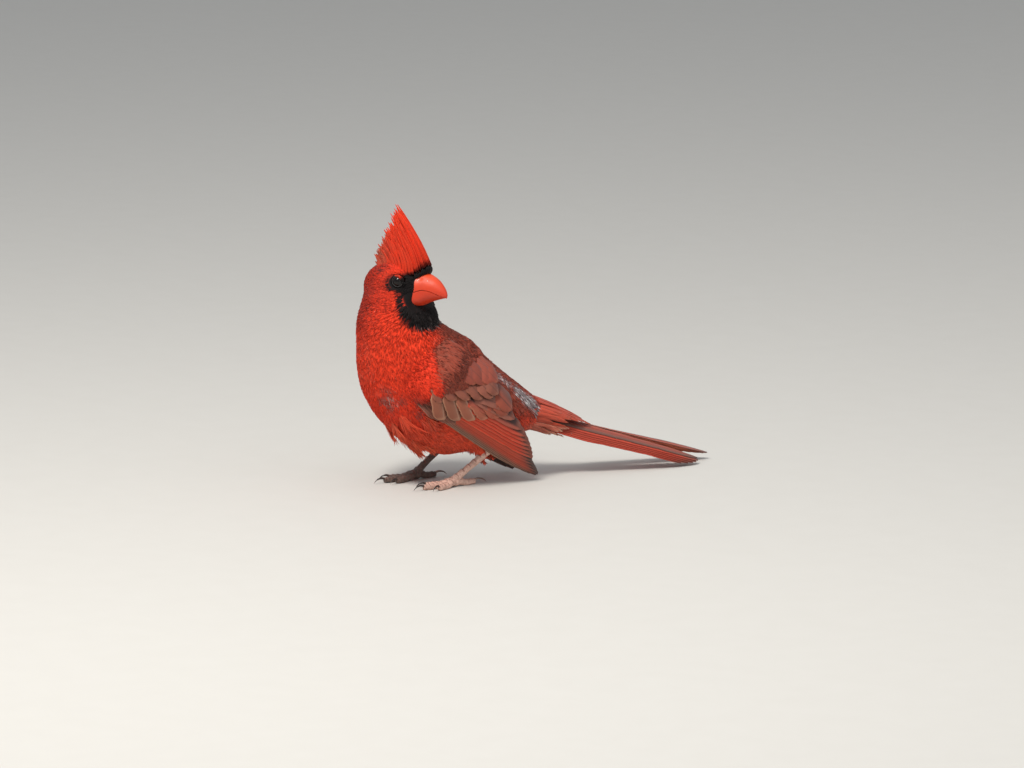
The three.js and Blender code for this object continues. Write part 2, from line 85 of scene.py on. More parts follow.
def in_head(points):
    """The reverse of head_point."""
    away = points - HEAD_AT
    c, s = math.cos(HEAD_TURN), math.sin(HEAD_TURN)
    x, y, z = away[..., 0], away[..., 1], away[..., 2]
    return np.stack([x * c + y * s, -x * s + y * c, z], -1)


def node_middle(node):
    low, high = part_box(node)
    return (np.array(low) + np.array(high)) / 2


EYES = (node_middle("eye_left") + node_middle("eye_right")) / 2 / MM
SHIFT = EYES - head_point(EYE_AT * [0, 1, 1])


def to_metres(points):
    return (np.asarray(points) + SHIFT) * MM


def to_mm(points):
    return np.asarray(points) / MM - SHIFT


def unit(ways):
    ways = np.asarray(ways, float)
    return ways / np.maximum(np.linalg.norm(ways, axis=-1, keepdims=True), 1e-9)


def smooth(low, high, x):
    """A soft step from 0 at low to 1 at high, or down from 1 where low is the higher."""
    t = np.clip((x - low) / (high - low), 0, 1)
    return t * t * (3 - 2 * t)


def blend(a, b, t):
    return a + (b - a) * t


def spline(rows, t):
    """Points at shares t along a smooth curve through rows."""
    rows = np.asarray(rows, float)
    last = len(rows) - 1
    x = np.clip(np.asarray(t, float), 0, 1) * last
    k = np.minimum(x.astype(int), last - 1)
    f = (x - k)[:, None]
    a, b, c, d = (rows[np.clip(k + i, 0, last)] for i in (-1, 0, 1, 2))
    return b + 0.5 * f * ((c - a) + f * (2 * a - 5 * b + 4 * c - d + f * (3 * (b - c) + d - a)))


def hexed(code):
    """A linear colour from a screen colour's code."""
    parts = [int(code[i : i + 2], 16) / 255 for i in (0, 2, 4)]
    return tuple(p / 12.92 if p <= 0.04045 else ((p + 0.055) / 1.055) ** 2.4 for p in parts)


def hexes(codes):
    return [hexed(code) for code in codes.split()]


def between(first, last, share):
    """A colour between the colours of two codes."""
    return blend(np.array(hexed(first)), np.array(hexed(last)), share)


# Colours that no setting changes
TONES = {name: hexed(code) for name, code in {
    "breast shade": "b02c1a", "breast fleck": "a8452e", "breast edge": "8a5040", "belly": "d65a3c",
    "back fleck": "7a5048", "rump": "b04534", "down": "8f8688", "pale down": "d0cccc", "dark down": "4c4648",
    "bare patch": "7d5048", "pale patch": "b8a8a0", "vent": "d99a86", "plume": "d97a58",
    "nape fleck": "5e241a", "crown spot": "2c2022", "chin streak": "8a7f7c",
    "worn crest": "8f6a54", "crest edge": "b52c18",
    "shoulder fleck": "7d5346", "shoulder wash": "a8402e", "wrist": "6b4038",
    "bill mottle": "b83018", "pupil": "070404", "dark lid": "0e0b0b", "pale lid": "2a2424",
    "shaded leg": "2c1814", "shaded scale": "4a2c26", "sole": "8a6052",
    "claw tip": "15100e", "claw root": "5b4339", "hind claw root": "c2a292", "hind claw end": "6b5044",
    "hind claw tip": "5a4238", "floor grain": "bdb9b2",
}.items()}


# Meshes
def grid_faces(rows, columns, closed=False):
    """Triangles of a grid of points, row by row."""
    i, j = np.meshgrid(np.arange(rows - 1), np.arange(columns if closed else columns - 1), indexing="ij")
    a = (i * columns + j).ravel()
    b = (i * columns + (j + 1) % columns).ravel()
    c, d = b + columns, a + columns
    return np.concatenate([np.stack([a, b, c], 1), np.stack([a, c, d], 1)])


def volume(points, faces):
    a, b, c = (points[faces[:, i]] for i in range(3))
    return np.einsum("ij,ij->i", a, np.cross(b, c)).sum() / 6


def outward(points, faces):
    """The triangles, turned if need be to face out of their form."""
    return faces[:, ::-1] if volume(points, faces) < 0 else faces


def make_piece(name, points, faces, colours=None, chart=None, layer=VANE):
    """A new object from arrays of points in millimetres and triangles."""
    mesh = bpy.data.meshes.new(name)
    faces = np.asarray(faces, np.int32)
    mesh.vertices.add(len(points))
    set_points(mesh, points)
    mesh.loops.add(faces.size)
    mesh.loops.foreach_set("vertex_index", faces.ravel())
    mesh.polygons.add(len(faces))
    mesh.polygons.foreach_set("loop_start", np.arange(0, faces.size, 3, dtype=np.int32))
    mesh.update(calc_edges=True)
    mesh.validate()
    mesh.polygons.foreach_set("use_smooth", np.ones(len(mesh.polygons), bool))
    if colours is not None:
        paint(mesh, colours)
    if chart is not None:
        values = chart[faces.ravel()].astype(np.float32)
        mesh.uv_layers.new(name=layer).uv.foreach_set("vector", values.ravel())
    piece = bpy.data.objects.new(name, mesh)
    bpy.context.scene.collection.objects.link(piece)
    return piece


def set_points(mesh, points):
    mesh.vertices.foreach_set("co", to_metres(points).astype(np.float32).ravel())


def read(items, key, width=3, kind=np.float32):
    values = np.empty((len(items), width), kind)
    items.foreach_get(key, values.ravel())
    return values


def mesh_arrays(mesh):
    """The points of a mesh in millimetres, and their normals."""
    return to_mm(read(mesh.vertices, "co")), read(mesh.vertices, "normal").astype(float)


def paint(mesh, colours):
    """Stores a colour at each point, for the material to read."""
    layer = mesh.color_attributes.new(PAINT, "FLOAT_COLOR", "POINT")
    rgba = np.ones((len(mesh.vertices), 4), np.float32)
    rgba[:, :3] = np.clip(colours, 0, 1)
    layer.data.foreach_set("color", rgba.ravel())


def dress(piece, slot, material, *nodes):
    """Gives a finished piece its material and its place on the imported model."""
    piece.data.materials.clear()
    piece.data.materials.append(material)
    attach(piece, "root")
    if nodes:
        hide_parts(*nodes)
    return piece


def only(piece):
    """Makes one object the only selected one, and the active one."""
    if bpy.context.object and bpy.context.object.mode != "OBJECT":
        bpy.ops.object.mode_set(mode="OBJECT")
    bpy.ops.object.select_all(action="DESELECT")
    piece.select_set(True)
    bpy.context.view_layer.objects.active = piece
    return piece


def apply_modifier(piece, kind, **settings):
    only(piece)
    modifier = piece.modifiers.new(kind.title(), kind)
    for key, value in settings.items():
        setattr(modifier, key, value)
    bpy.ops.object.modifier_apply(modifier=modifier.name)


def edit(piece, operator, **settings):
    """Runs one operator of edit mode on all of a piece."""
    only(piece)
    bpy.ops.object.mode_set(mode="EDIT")
    bpy.ops.mesh.select_all(action="SELECT")
    operator(**settings)
    bpy.ops.object.mode_set(mode="OBJECT")


def loft(path, sizes, around, along, above=(0, 0, 1)):
    """A closed form along a path, with rows of sizes to the side, above and below.

    Returns its points and triangles, and each point's share along and angle round.
    """
    t = np.linspace(0, 1, along)
    centre, size = spline(path, t), spline(sizes, t)
    tangent = unit(np.gradient(centre, axis=0))
    side = unit(np.cross(tangent, np.asarray(above, float)))
    up = np.cross(side, tangent)
    angle = np.arange(around) / around * 2 * math.pi
    c, s = np.cos(angle)[None, :, None], np.sin(angle)[None, :, None]
    rise = np.where(s > 0, size[:, None, 1:2], size[:, None, 2:3])
    rings = centre[:, None] + side[:, None] * c * size[:, None, 0:1] + up[:, None] * s * rise
    points = np.concatenate([rings.reshape(-1, 3), centre[:1], centre[-1:]])
    ring = np.arange(around)
    turned = (ring + 1) % around
    first, last = len(points) - 2, len(points) - 1
    base = (along - 1) * around
    faces = outward(points, np.concatenate([
        grid_faces(along, around, closed=True),
        np.stack([np.full(around, first), turned, ring], 1),
        np.stack([np.full(around, last), base + ring, base + turned], 1),
    ]))
    shares = np.concatenate([np.repeat(t, around), [0, 1]])
    angles = np.concatenate([np.tile(angle, along), [0, 0]])
    return points, faces, shares, angles


def ball_angles(rings, around):
    """The angle from the pole and the turn about it, at each point of a ball of rings."""
    turn = np.arange(around) / around * 2 * math.pi
    return np.meshgrid(np.linspace(0, math.pi, rings), turn, indexing="ij")


def gather(parts):
    """Joins (points, faces, ...) tuples into one set of arrays."""
    start = np.cumsum([0] + [len(p[0]) for p in parts])
    faces = np.concatenate([p[1] + s for p, s in zip(parts, start)])
    rest = [np.concatenate([p[i] for p in parts]) for i in range(2, len(parts[0]))]
    return (np.concatenate([p[0] for p in parts]), faces, *rest)


# Materials
class Wire:
    """One output of a shader node, with arithmetic."""

    def __init__(self, shader, socket):
        self.shader, self.socket = shader, socket

    def maths(self, kind, *others):
        return self.shader.maths(kind, self, *others)

    def __add__(self, other):
        return self.maths("ADD", other)

    def __mul__(self, other):
        return self.maths("MULTIPLY", other)

    def __sub__(self, other):
        return self.maths("SUBTRACT", other)

    def __rsub__(self, other):
        return self.shader.maths("SUBTRACT", other, self)

    __radd__, __rmul__ = __add__, __mul__


class Shader:
    """A material under construction."""

    def __init__(self, name):
        self.material = bpy.data.materials.new(name)
        self.material.use_nodes = True
        self.tree = self.material.node_tree
        self.surface = next(n for n in self.tree.nodes if n.type == "BSDF_PRINCIPLED")

    def feed(self, socket, value):
        if isinstance(value, Wire):
            self.tree.links.new(value.socket, socket)
        elif socket.type == "RGBA":
            socket.default_value = (*value, 1)
        else:
            socket.default_value = value

    def node(self, kind, settings=None, values=None, out=0):
        """Adds a node, sets it up, feeds its sockets and gives one output."""
        made = self.tree.nodes.new(kind)
        for key, value in (settings or {}).items():
            setattr(made, key, value)
        for key, value in (values or {}).items():
            self.feed(made.inputs[key], value)
        return Wire(self, made.outputs[out])

    def maths(self, kind, *values):
        return self.node("ShaderNodeMath", {"operation": kind}, dict(enumerate(values)))

    def painted(self):
        """The colour stored at each point of the mesh."""
        return self.node("ShaderNodeVertexColor", {"layer_name": PAINT}, out="Color")

    def shaded(self, shade):
        """The stored colour, made darker or lighter."""
        grey = self.node("ShaderNodeCombineColor", {}, {"Red": shade, "Green": shade, "Blue": shade})
        return self.mix(1.0, self.painted(), grey, "MULTIPLY")

    def noise(self, scale, detail=3, stretch=(1, 1, 1)):
        place = self.node("ShaderNodeTexCoord", out="Object")
        place = self.node("ShaderNodeMapping", values={"Vector": place, "Scale": stretch})
        return self.node("ShaderNodeTexNoise", {}, {"Vector": place, "Scale": scale, "Detail": detail})

    def mix(self, share, a, b, kind="MIX"):
        settings = {"data_type": "RGBA", "blend_type": kind}
        return self.node("ShaderNodeMix", settings, {0: share, 6: a, 7: b}, 2)

    def spread(self, wire, low, high):
        """Stretches a share between two limits to 0 and 1."""
        values = {0: wire, 1: low, 2: high, 3: 0.0, 4: 1.0}
        return self.node("ShaderNodeMapRange", {"interpolation_type": "SMOOTHSTEP"}, values)

    def finish(self, bump=None, height=0.0001, strength=0.5, **sockets):
        for key, value in sockets.items():
            self.feed(self.surface.inputs[key.replace("_", " ")], value)
        if bump is not None:
            values = {"Strength": strength, "Distance": height, "Height": bump}
            self.feed(self.surface.inputs["Normal"], self.node("ShaderNodeBump", {}, values))
        return self.material


def plumage_material(name, roughness=0.72, grain=0.16):
    """Soft feathers that take their colour from the mesh, with fine streaks."""
    s = Shader(name)
    fine, broad = s.noise(2600, 2), s.noise(260, 3)
    shade = fine * grain + broad * (grain * 1.2) + (1 - 1.1 * grain)
    return s.finish(
        bump=fine, height=0.00012, strength=0.35, Base_Color=s.shaded(shade), Roughness=roughness,
        Specular_IOR_Level=0.16, Sheen_Weight=0.03, Sheen_Roughness=0.5,
    )


def vane_material(name):
    """Flight feathers: colour from the mesh, and barbs that slant from the shaft."""
    s = Shader(name)
    place = s.node("ShaderNodeUVMap", {"uv_map": VANE})
    split = s.node("ShaderNodeSeparateXYZ", {}, {"Vector": place}).socket.node
    across, along = Wire(s, split.outputs["X"]), Wire(s, split.outputs["Y"])
    aside = (across - 0.5).maths("ABSOLUTE")
    barbs = ((along * 10 - aside * 6) * 9).maths("SINE")
    broad = s.noise(420, 3)
    return s.finish(
        bump=barbs, height=0.00006, strength=0.4, Base_Color=s.shaded(barbs * 0.07 + broad * 0.3 + 0.82),
        Roughness=s.spread(broad, 0.3, 0.7) * 0.16 + 0.48, Specular_IOR_Level=0.3, Sheen_Weight=0.06,
    )


def bill_material(base, pale):
    """Horn that a painted highlight makes lighter up the bill, with mottles and faint streaks."""
    s = Shader("bill_horn")
    place = s.node("ShaderNodeTexCoord", out="Object")
    height = s.node("ShaderNodeSeparateXYZ", {}, {"Vector": place}, "Z")
    mottle, streak = s.noise(420, 4), s.noise(900, 2, (1, 1, 0.25))
    # Painted highlight: the horn grows lighter towards the top of the bill, where the light falls
    colour = s.mix(s.spread(height, *BILL_HIGHLIGHT_HEIGHTS) * 0.45, base, pale)
    colour = s.mix(s.spread(mottle, 0.45, 0.75) * 0.35, colour, TONES["bill mottle"])
    return s.finish(
        bump=streak, height=0.00005, strength=0.25, Base_Color=colour,
        Roughness=s.spread(mottle, 0.2, 0.8) * 0.15 + 0.42, Coat_Weight=0.05,
    )


def scale_material(dark, pale):
    """Scaled skin of the legs: pink, with brown between the scales."""
    s = Shader("leg_scale")
    mottle = s.noise(700, 4)
    place = s.node("ShaderNodeTexCoord", out="Object")
    cells = s.node("ShaderNodeTexVoronoi", {"feature": "DISTANCE_TO_EDGE"}, {"Vector": place, "Scale": 1500})
    edge = s.spread(cells, 0.0, 0.12)
    colour = s.mix(s.spread(mottle, 0.4, 0.75) * 0.45, s.painted(), dark)
    colour = s.mix((1 - edge) * 0.35, colour, dark)
    colour = s.mix(s.spread(mottle, 0.2, 0.42) * -0.3 + 0.3, colour, pale)
    return s.finish(
        bump=edge + mottle * 0.4, height=0.00012, strength=0.6, Base_Color=colour,
        Roughness=s.spread(mottle, 0.3, 0.7) * 0.2 + 0.45,
    )


def claw_material(name, tip):
    """Dark horn with fine streaks."""
    s = Shader(name)
    streak = s.noise(1500, 3)
    colour = s.mix(s.spread(streak, 0.35, 0.75) * 0.4, s.painted(), tip)
    return s.finish(
        bump=streak, height=0.00004, strength=0.3, Base_Color=colour, Roughness=0.34, Coat_Weight=0.2,
    )


def eye_material(iris):
    """A black and brown eye under a clear front."""
    s = Shader("eye_gloss")
    colour = s.mix(s.spread(s.noise(1800, 3), 0.3, 0.8) * 0.6, TONES["pupil"], iris)
    return s.finish(
        Base_Color=colour, Roughness=0.2, Specular_IOR_Level=0.25, Coat_Weight=0.16, Coat_Roughness=0.04,
    )


def lid_material():
    """Dark creased skin."""
    s = Shader("lid_skin")
    crease = s.noise(2400, 3)
    colour = s.mix(crease, TONES["dark lid"], TONES["pale lid"])
    return s.finish(bump=crease, height=0.00008, strength=0.5, Base_Color=colour, Roughness=0.55)


# Markings
def blob(points, centre, size, edge=0.35):
    """How far each point is inside a rounded patch, from 0 to 1."""
    away = np.linalg.norm((points - np.asarray(centre, float)) / np.asarray(size, float), axis=-1)
    return 1 - smooth(1 - edge, 1 + edge, away)


def ripple(points, length, seed=0.0):
    """A smooth wavy value from -1 to 1, the same for the same place."""
    x, y, z = (points[..., i] * (2 * math.pi / length) for i in range(3))
    return (
        np.sin(x + 1.7 * np.sin(y * 0.9 + seed) + seed)
        + np.sin(1.3 * y + 1.3 * np.sin(z * 1.1 + 2 * seed))
        + np.sin(1.1 * z + 1.5 * np.sin(x * 0.8 - seed))
    ) / 3


def over(colours, share, colour):
    return blend(colours, np.asarray(colour, float), np.clip(share, 0, 1)[..., None])


def layered(base, count, layers):
    """One colour at a number of places, with layers of a share and a colour over it."""
    colours = np.tile(np.asarray(base, float), (count, 1))
    for share, colour in layers:
        colours = over(colours, share, colour)
    return colours


def markings(points, normals, look):
    """The colour of the plumage at each place on the body."""
    wave, fine = ripple(points, 9.0), ripple(points, 3.6, 1.3)
    layers = body_layers(points, normals @ BACK_WAY, wave, fine, look)
    layers += head_layers(points, wave, fine, look)
    return layered(look.breast, len(points), layers)


def body_layers(points, upper, wave, fine, look):
    """Red beneath and brown above, with grey down on the flank and the bare patches of moult."""
    _, y, z = points.T
    edge = smooth(-34, -42, y) * smooth(50, 64, z) * smooth(84, 78, z)
    back = smooth(-0.1, 0.45, upper + 0.1 * wave) * smooth(-14, -2, y + 3 * wave) * smooth(94, 86, z)
    down = segment_blob(points, (16, 22, 61), (14, 32, 53), 2.6 + 1.2 * wave) * 0.5
    down = np.maximum(down, segment_blob(points, (14, 36, 50), (12, 47, 40), 4.6 + 1.5 * wave))
    bare = blob(points, (15, -34, 50), (7, 8, 9)) * 0.6 + blob(points, (23, -16, 44), (6, 8, 8)) * 0.6
    pale = blob(points, (15, -34, 50), (4, 5, 6))
    vent = smooth(34, 52, y) * smooth(0.1, -0.5, upper)
    return [
        (smooth(0.2, 0.9, wave) * 0.35, TONES["breast shade"]),
        (smooth(0.35, 0.9, fine) * 0.22, TONES["breast fleck"]),
        (blob(points, (16, -26, 72), (22, 22, 22), 0.6) * 0.6, look.bright),
        (smooth(46, 24, z) * 0.55, TONES["belly"]),
        (edge * smooth(-0.3, 0.5, fine) * 0.45, TONES["breast edge"]),
        (back * 0.95, look.back),
        (back * smooth(0.2, 0.6, fine) * 0.5, TONES["back fleck"]),
        (smooth(30, 48, y) * smooth(0.0, 0.5, upper) * 0.6, TONES["rump"]),
        (down * 0.85, TONES["down"]),
        (down * smooth(0.0, 0.5, fine), TONES["pale down"]),
        (down * smooth(-0.35, -0.7, fine) * 0.8, TONES["dark down"]),
        (bare * smooth(-0.3, 0.5, wave + 0.5 * fine), TONES["bare patch"]),
        (pale * smooth(0.3, 0.8, fine) * 0.7, TONES["pale patch"]),
        (vent * 0.7, TONES["vent"]),
    ]


# Patches of the mask in the head's frame: their places aside, forward and up, sizes and soft edges.
MASK_PATCHES = [
    ((0, 15.5, 102), (9, 4.6, 9.5), 0.16),
    ((0, 16.5, 109.6), (8.8, 5.4, 3.8), 0.2),
    ((8, 12.5, 106), (4.6, 5.2, 4.4), 0.2),
    ((9.6, 9.4, 104), (4.6, 4.8, 4.6), 0.2),
    ((10.6, 6.0, 104.4), (4.4, 5.2, 4.2), 0.2),
    ((6.6, 13, 96.8), (6, 5, 8.6), 0.14),
    ((0, 15, 90.6), (11, 8, 6.2), 0.2),
]


def head_layers(points, wave, fine, look):
    """A darker nape and cheek, and the black mask round the bill."""
    local = in_head(points)
    side, forward, z = np.abs(local[:, 0]), -local[:, 1], points[:, 2]
    nape = smooth(80, 90, z) * smooth(5, -8, forward + 2 * wave) * smooth(118, 110, z)
    face = np.stack([side, forward, z], 1)
    spot = blob(face, (8, -2, 111), (3, 3.4, 2.4), 0.6)
    cheek = blob(face, (14, 2, 98), (8, 8, 8), 0.5)
    ragged = np.stack([side, forward + 0.5 * fine, z + 0.7 * fine], 1)
    mask = np.maximum.reduce([blob(ragged, *patch) for patch in MASK_PATCHES])
    streaks = blob(ragged, (2, 17, 86.5), (6.5, 8, 3.4), 0.4) * smooth(0.2, 0.8, fine) * mask
    return [
        (nape * 0.62, look.nape),
        (nape * smooth(0.1, 0.8, fine) * 0.4, TONES["nape fleck"]),
        (spot * smooth(-0.4, 0.4, fine) * 0.85, TONES["crown spot"]),
        (cheek * (0.2 + 0.4 * smooth(0, 0.8, fine)), look.nape),
        (mask, look.mask),
        (streaks * 0.5, TONES["chin streak"]),
    ]


def segment_blob(points, start, end, radius):
    """How far each point is inside a rounded streak, from 0 to 1."""
    start, end = np.asarray(start, float), np.asarray(end, float)
    along = end - start
    t = np.clip((points - start) @ along / (along @ along), 0, 1)
    away = np.linalg.norm(points - (start + t[:, None] * along), axis=1)
    return 1 - smooth(0.6, 1.2, away / radius)


# The lie of the feathers: places, and the way they point there.
HEAD_LIE = [
    ((0, -13, 110), (0, 0.7, 0.7)), ((0, 0, 116), (0, 1, 0.1)), ((0, 12, 112), (0, 0.9, -0.4)),
    ((8, -12, 105), (0.5, 0.85, 0.05)), ((14, -3, 98), (0.2, 0.8, -0.5)), ((14, 4, 105), (0, 1, -0.25)),
    ((12, 12, 98), (-0.3, 0.7, -0.7)), ((0, -13, 95), (0, 0.1, -1)), ((8, -10, 96), (0.4, 0.5, -0.8)),
    ((10, -8, 99), (0.3, 0.9, -0.3)), ((0, 19, 100), (0, 0.1, -1)),
]
BODY_LIE = [
    ((0, -38, 86), (0, -0.1, -1)), ((0, -42, 66), (0, 0.12, -1)), ((20, -26, 72), (0.1, 0.3, -0.95)),
    ((22, -18, 55), (0, 0.6, -0.8)), ((0, -33, 40), (0, 0.6, -0.8)), ((0, -14, 22), (0, 1, -0.2)),
    ((0, 15, 14), (0, 1, 0.15)), ((20, 0, 32), (0, 0.9, -0.4)), ((0, 0, 86), (0, 0.7, -0.7)),
    ((20, 0, 72), (0.1, 0.75, -0.65)), ((0, 30, 62), (0, 0.75, -0.65)), ((0, 50, 42), (0, 0.92, -0.4)),
    ((0, 58, 24), (0, 1, 0)), ((13, 16, 18), (0, 0.2, -1)), ((20, -10, 84), (0, 0.4, -0.9)),
]


def lie_of_coat(points, normals):
    """The way the feathers point at each place, along the skin."""
    at, way = [], []
    for rows, to_place, to_way in ((HEAD_LIE, head_point, head_way), (BODY_LIE, np.array, np.array)):
        for (x, y, z), (a, b, c) in rows:
            for side in (1, -1) if x else (1,):
                at.append(to_place([side * x, y, z]))
                way.append(to_way([side * a, b, c]))
    lie = np.zeros_like(points)
    for place, direction in zip(np.array(at), unit(np.array(way))):
        near = 1 / (((points - place) ** 2).sum(1) + 110) ** 2
        lie += near[:, None] * direction
    lie -= normals * np.einsum("ij,ij->i", lie, normals)[:, None]
    return unit(lie)


# Small feathers: each has three rings of three points and a tip.
TUFT_FACES = np.array([
    [0, 2, 1], [0, 1, 4], [0, 4, 3], [1, 2, 5], [1, 5, 4], [2, 0, 3], [2, 3, 5],
    [3, 4, 7], [3, 7, 6], [4, 5, 8], [4, 8, 7], [5, 3, 6], [5, 6, 8],
    [6, 7, 9], [7, 8, 9], [8, 6, 9],
])
TUFT_RINGS = ((0.0, 0.7), (0.4, 1.0), (0.75, 0.72), (1.0, 0.0))
# Painted shade and light: each small feather is darker at its root, under the feathers that overlap it, and
# lighter along its ridge and towards its tip
TUFT_SHADE = np.array([0.74, 0.78, 0.74, 0.9, 0.96, 0.9, 1.0, 1.03, 1.0, 1.08])
TUFT_CHART = np.array([(x, t) for t in (0, 0.4, 0.75) for x in (0, 0.5, 1)] + [(0.5, 1)]) - 0.5
CHART_SIZE = 0.003
TUFT_SINK = 0.4


def tuft_arrays(roots, normals, lie, length, width, lift, fall, colours, charts, seed, spread):
    """Many small feathers as one mesh: each a narrow roof of three rings and a tip."""
    count = len(roots)
    chance = np.random.default_rng(seed)
    sway = chance.normal(0, 0.09, (count, 1))
    side = unit(np.cross(normals, lie))
    lie = unit(lie + side * sway)
    side = np.cross(normals, lie)
    twist = chance.normal(0, 0.06, (count, 1))
    length = (length * chance.uniform(0.8, 1.2, count))[:, None]
    width = (width * chance.uniform(0.8, 1.2, count))[:, None]
    rise = (lift * chance.uniform(0.65, 1.35, count))[:, None]
    rings = []
    for t, broad in TUFT_RINGS:
        drop = fall[:, None] * t * t
        centre = roots + lie * length * t + normals * (rise * t - drop - TUFT_SINK * (1 - t) ** 2)
        centre = centre + side * sway * length * t * t
        if broad:
            half = side * width * broad / 2 + normals * twist * width * broad / 2
            low = normals * 0.11 * width
            rings += [centre - half - low, centre + normals * 0.1 * width, centre + half - low]
        else:
            rings.append(centre)
    points = np.stack(rings, 1)
    faces = outward(points[0], TUFT_FACES)
    faces = (np.arange(count)[:, None, None] * len(TUFT_SHADE) + faces[None]).reshape(-1, 3)
    tone = chance.normal(1, spread, (count, 1, 1))
    # Each feather's random tone, with the painted shade and light of TUFT_SHADE
    tint = np.clip(colours[:, None, :] * tone * TUFT_SHADE[None, :, None], 0, 1)
    chart = charts[:, None, :] + TUFT_CHART[None] * CHART_SIZE
    return points.reshape(-1, 3), faces, tint.reshape(-1, 3), chart.reshape(-1, 2)


def falls(mesh, roots, normals, lie, length):
    """How far a mesh falls away, at each feather's tip, from the straight line of the feather."""
    tree = BVHTree.FromPolygons([v.co for v in mesh.vertices], [f.vertices for f in mesh.polygons])
    tips = to_metres(roots + lie * length[:, None])
    near = np.array([tree.find_nearest(Vector(tip))[0] for tip in tips])
    return np.clip(np.einsum("ij,ij->i", tips - near, normals) / MM, -1.5, 4)


def scatter(mesh, count, seed):
    """Even random places on a mesh: points, normals, and their places on its unwrap."""
    mesh.calc_loop_triangles()
    tris = read(mesh.loop_triangles, "vertices", kind=np.int32)
    loops = read(mesh.loop_triangles, "loops", kind=np.int32)
    chart = read(mesh.uv_layers[BAKE].uv, "vector", 2)
    points, normals = mesh_arrays(mesh)
    a, b, c = (points[tris[:, i]] for i in range(3))
    area = np.linalg.norm(np.cross(b - a, c - a), axis=1)
    chance = np.random.default_rng(seed)
    steps = (np.arange(count) + chance.uniform(0, 1, count)) / count
    pick = np.minimum(np.searchsorted(np.cumsum(area) / area.sum(), steps), len(area) - 1)
    r = chance.uniform(0, 1, (count, 2))
    r = np.where(r.sum(1, keepdims=True) > 1, 1 - r, r)
    w = np.stack([1 - r.sum(1), r[:, 0], r[:, 1]], 1)[:, :, None]
    place = (points[tris[pick]] * w).sum(1)
    normal = unit((normals[tris[pick]] * w).sum(1))
    return place, normal, (chart[loops[pick]] * w).sum(1)


# Vanes
RUNGS = 18
ACROSS = np.array([-1, -0.86, -0.5, -0.12, 0, 0.12, 0.55, 1.0])


def vane_arrays(place, widths, length, tint, seed, rungs=RUNGS, thick=0.34, shaft=0.22, camber=0.3):
    """One flat feather. place(t, across, lift) puts it in space, widths(t) gives its two widths."""
    chance = np.random.default_rng(seed)
    t = np.linspace(0, 1, rungs)[:, None]
    lead, trail = widths(t)
    rag = 1 - np.abs(chance.normal(0, 0.05, (rungs, 2))) * smooth(0.15, 0.5, t)
    lead, trail = lead * rag[:, :1], trail * rag[:, 1:]
    share = np.broadcast_to(ACROSS[None], (rungs, len(ACROSS)))
    across = np.where(share < 0, share * lead, share * trail)
    t = np.broadcast_to(t, across.shape)
    bow = -camber * share**2
    ridge = shaft * np.exp(-((share / 0.1) ** 2)) * (1 - 0.8 * t)
    top = place(t, across, thick / 2 + bow + ridge)
    bottom = place(t, across, -thick / 2 + bow)
    points = np.concatenate([top.reshape(-1, 3), bottom.reshape(-1, 3)])
    size, columns = top.shape[0] * top.shape[1], len(ACROSS)
    faces = grid_faces(rungs, columns)
    edge = np.concatenate([
        np.arange(columns), columns * np.arange(1, rungs) + columns - 1,
        size - 2 - np.arange(columns - 1), columns * np.arange(rungs - 2, 0, -1),
    ])
    after = np.roll(edge, -1)
    rim = np.concatenate([
        np.stack([edge, edge + size, after], 1), np.stack([after, edge + size, after + size], 1),
    ])
    faces = outward(points, np.concatenate([faces, faces[:, ::-1] + size, rim]))
    colour = tint(t, share) * chance.normal(1, 0.06)
    colours = np.concatenate([colour.reshape(-1, 3), colour.reshape(-1, 3) * 0.75])
    chart = np.stack([share * 0.5 + 0.5, t * length / 10], -1).reshape(-1, 2)
    return points, faces, colours, np.concatenate([chart, chart])


def webs(lead, trail, root=0.5, blunt=0.72):
    """The widths of a feather's two webs, from a narrow root to a round tip."""
    def widths(t):
        grow = np.minimum(1, root + (1 - root) * t / 0.35)
        full = np.sqrt(np.clip(1 - np.maximum(0, (t - blunt) / (1.005 - blunt)) ** 2, 0, 1))
        return lead * grow * full + 0.05, trail * grow * full + 0.05

    return widths


def flight_tint(edge, web, inner, tip, line, start=0.05):
    """Colours of one flight feather: its outer edge, outer web, inner web, tip and shaft."""

    def tint(t, share):
        colours = np.broadcast_to(np.asarray(web, float), (*t.shape, 3)).copy()
        # The inner web's colour, from start across the vane; where start lies out on the outer web, the dark
        # band it makes there is partly the dark inner web and partly a painted shadow along the edge of the
        # next feather
        colours = over(colours, smooth(start - 0.1, start + 0.3, share), inner)
        colours = over(colours, smooth(-0.85, -1.0, share) * 0.9, edge)
        colours = over(colours, smooth(0.86, 0.99, t) * 0.85, tip)
        return over(colours, np.exp(-((share / 0.09) ** 2)) * 0.75, line)

    return tint


# Wings: p runs from the wrist to the tip, q up and back across the wing, h out from the body.
WINGS = {
    "left": (1, (23.6, -21, 55), (14, 51.7, 2.6)),
    "right": (-1, (-23.6, -24, 54), (-14, 47.6, 2.6)),
}
WING_TILT = 0.3
# How far a wing bulges, at which p, how far from there it is level again, and how it curves across
WING_BULGE, BULGE_AT, BULGE_REACH, WING_CURVE = 5.6, 25, 66, 0.0105
# The flesh of a shoulder: its middle and its reach in p and q, and its half thickness
CORE_AT, CORE_REACH, CORE_THICK = (8, 12), (20, 18), 3
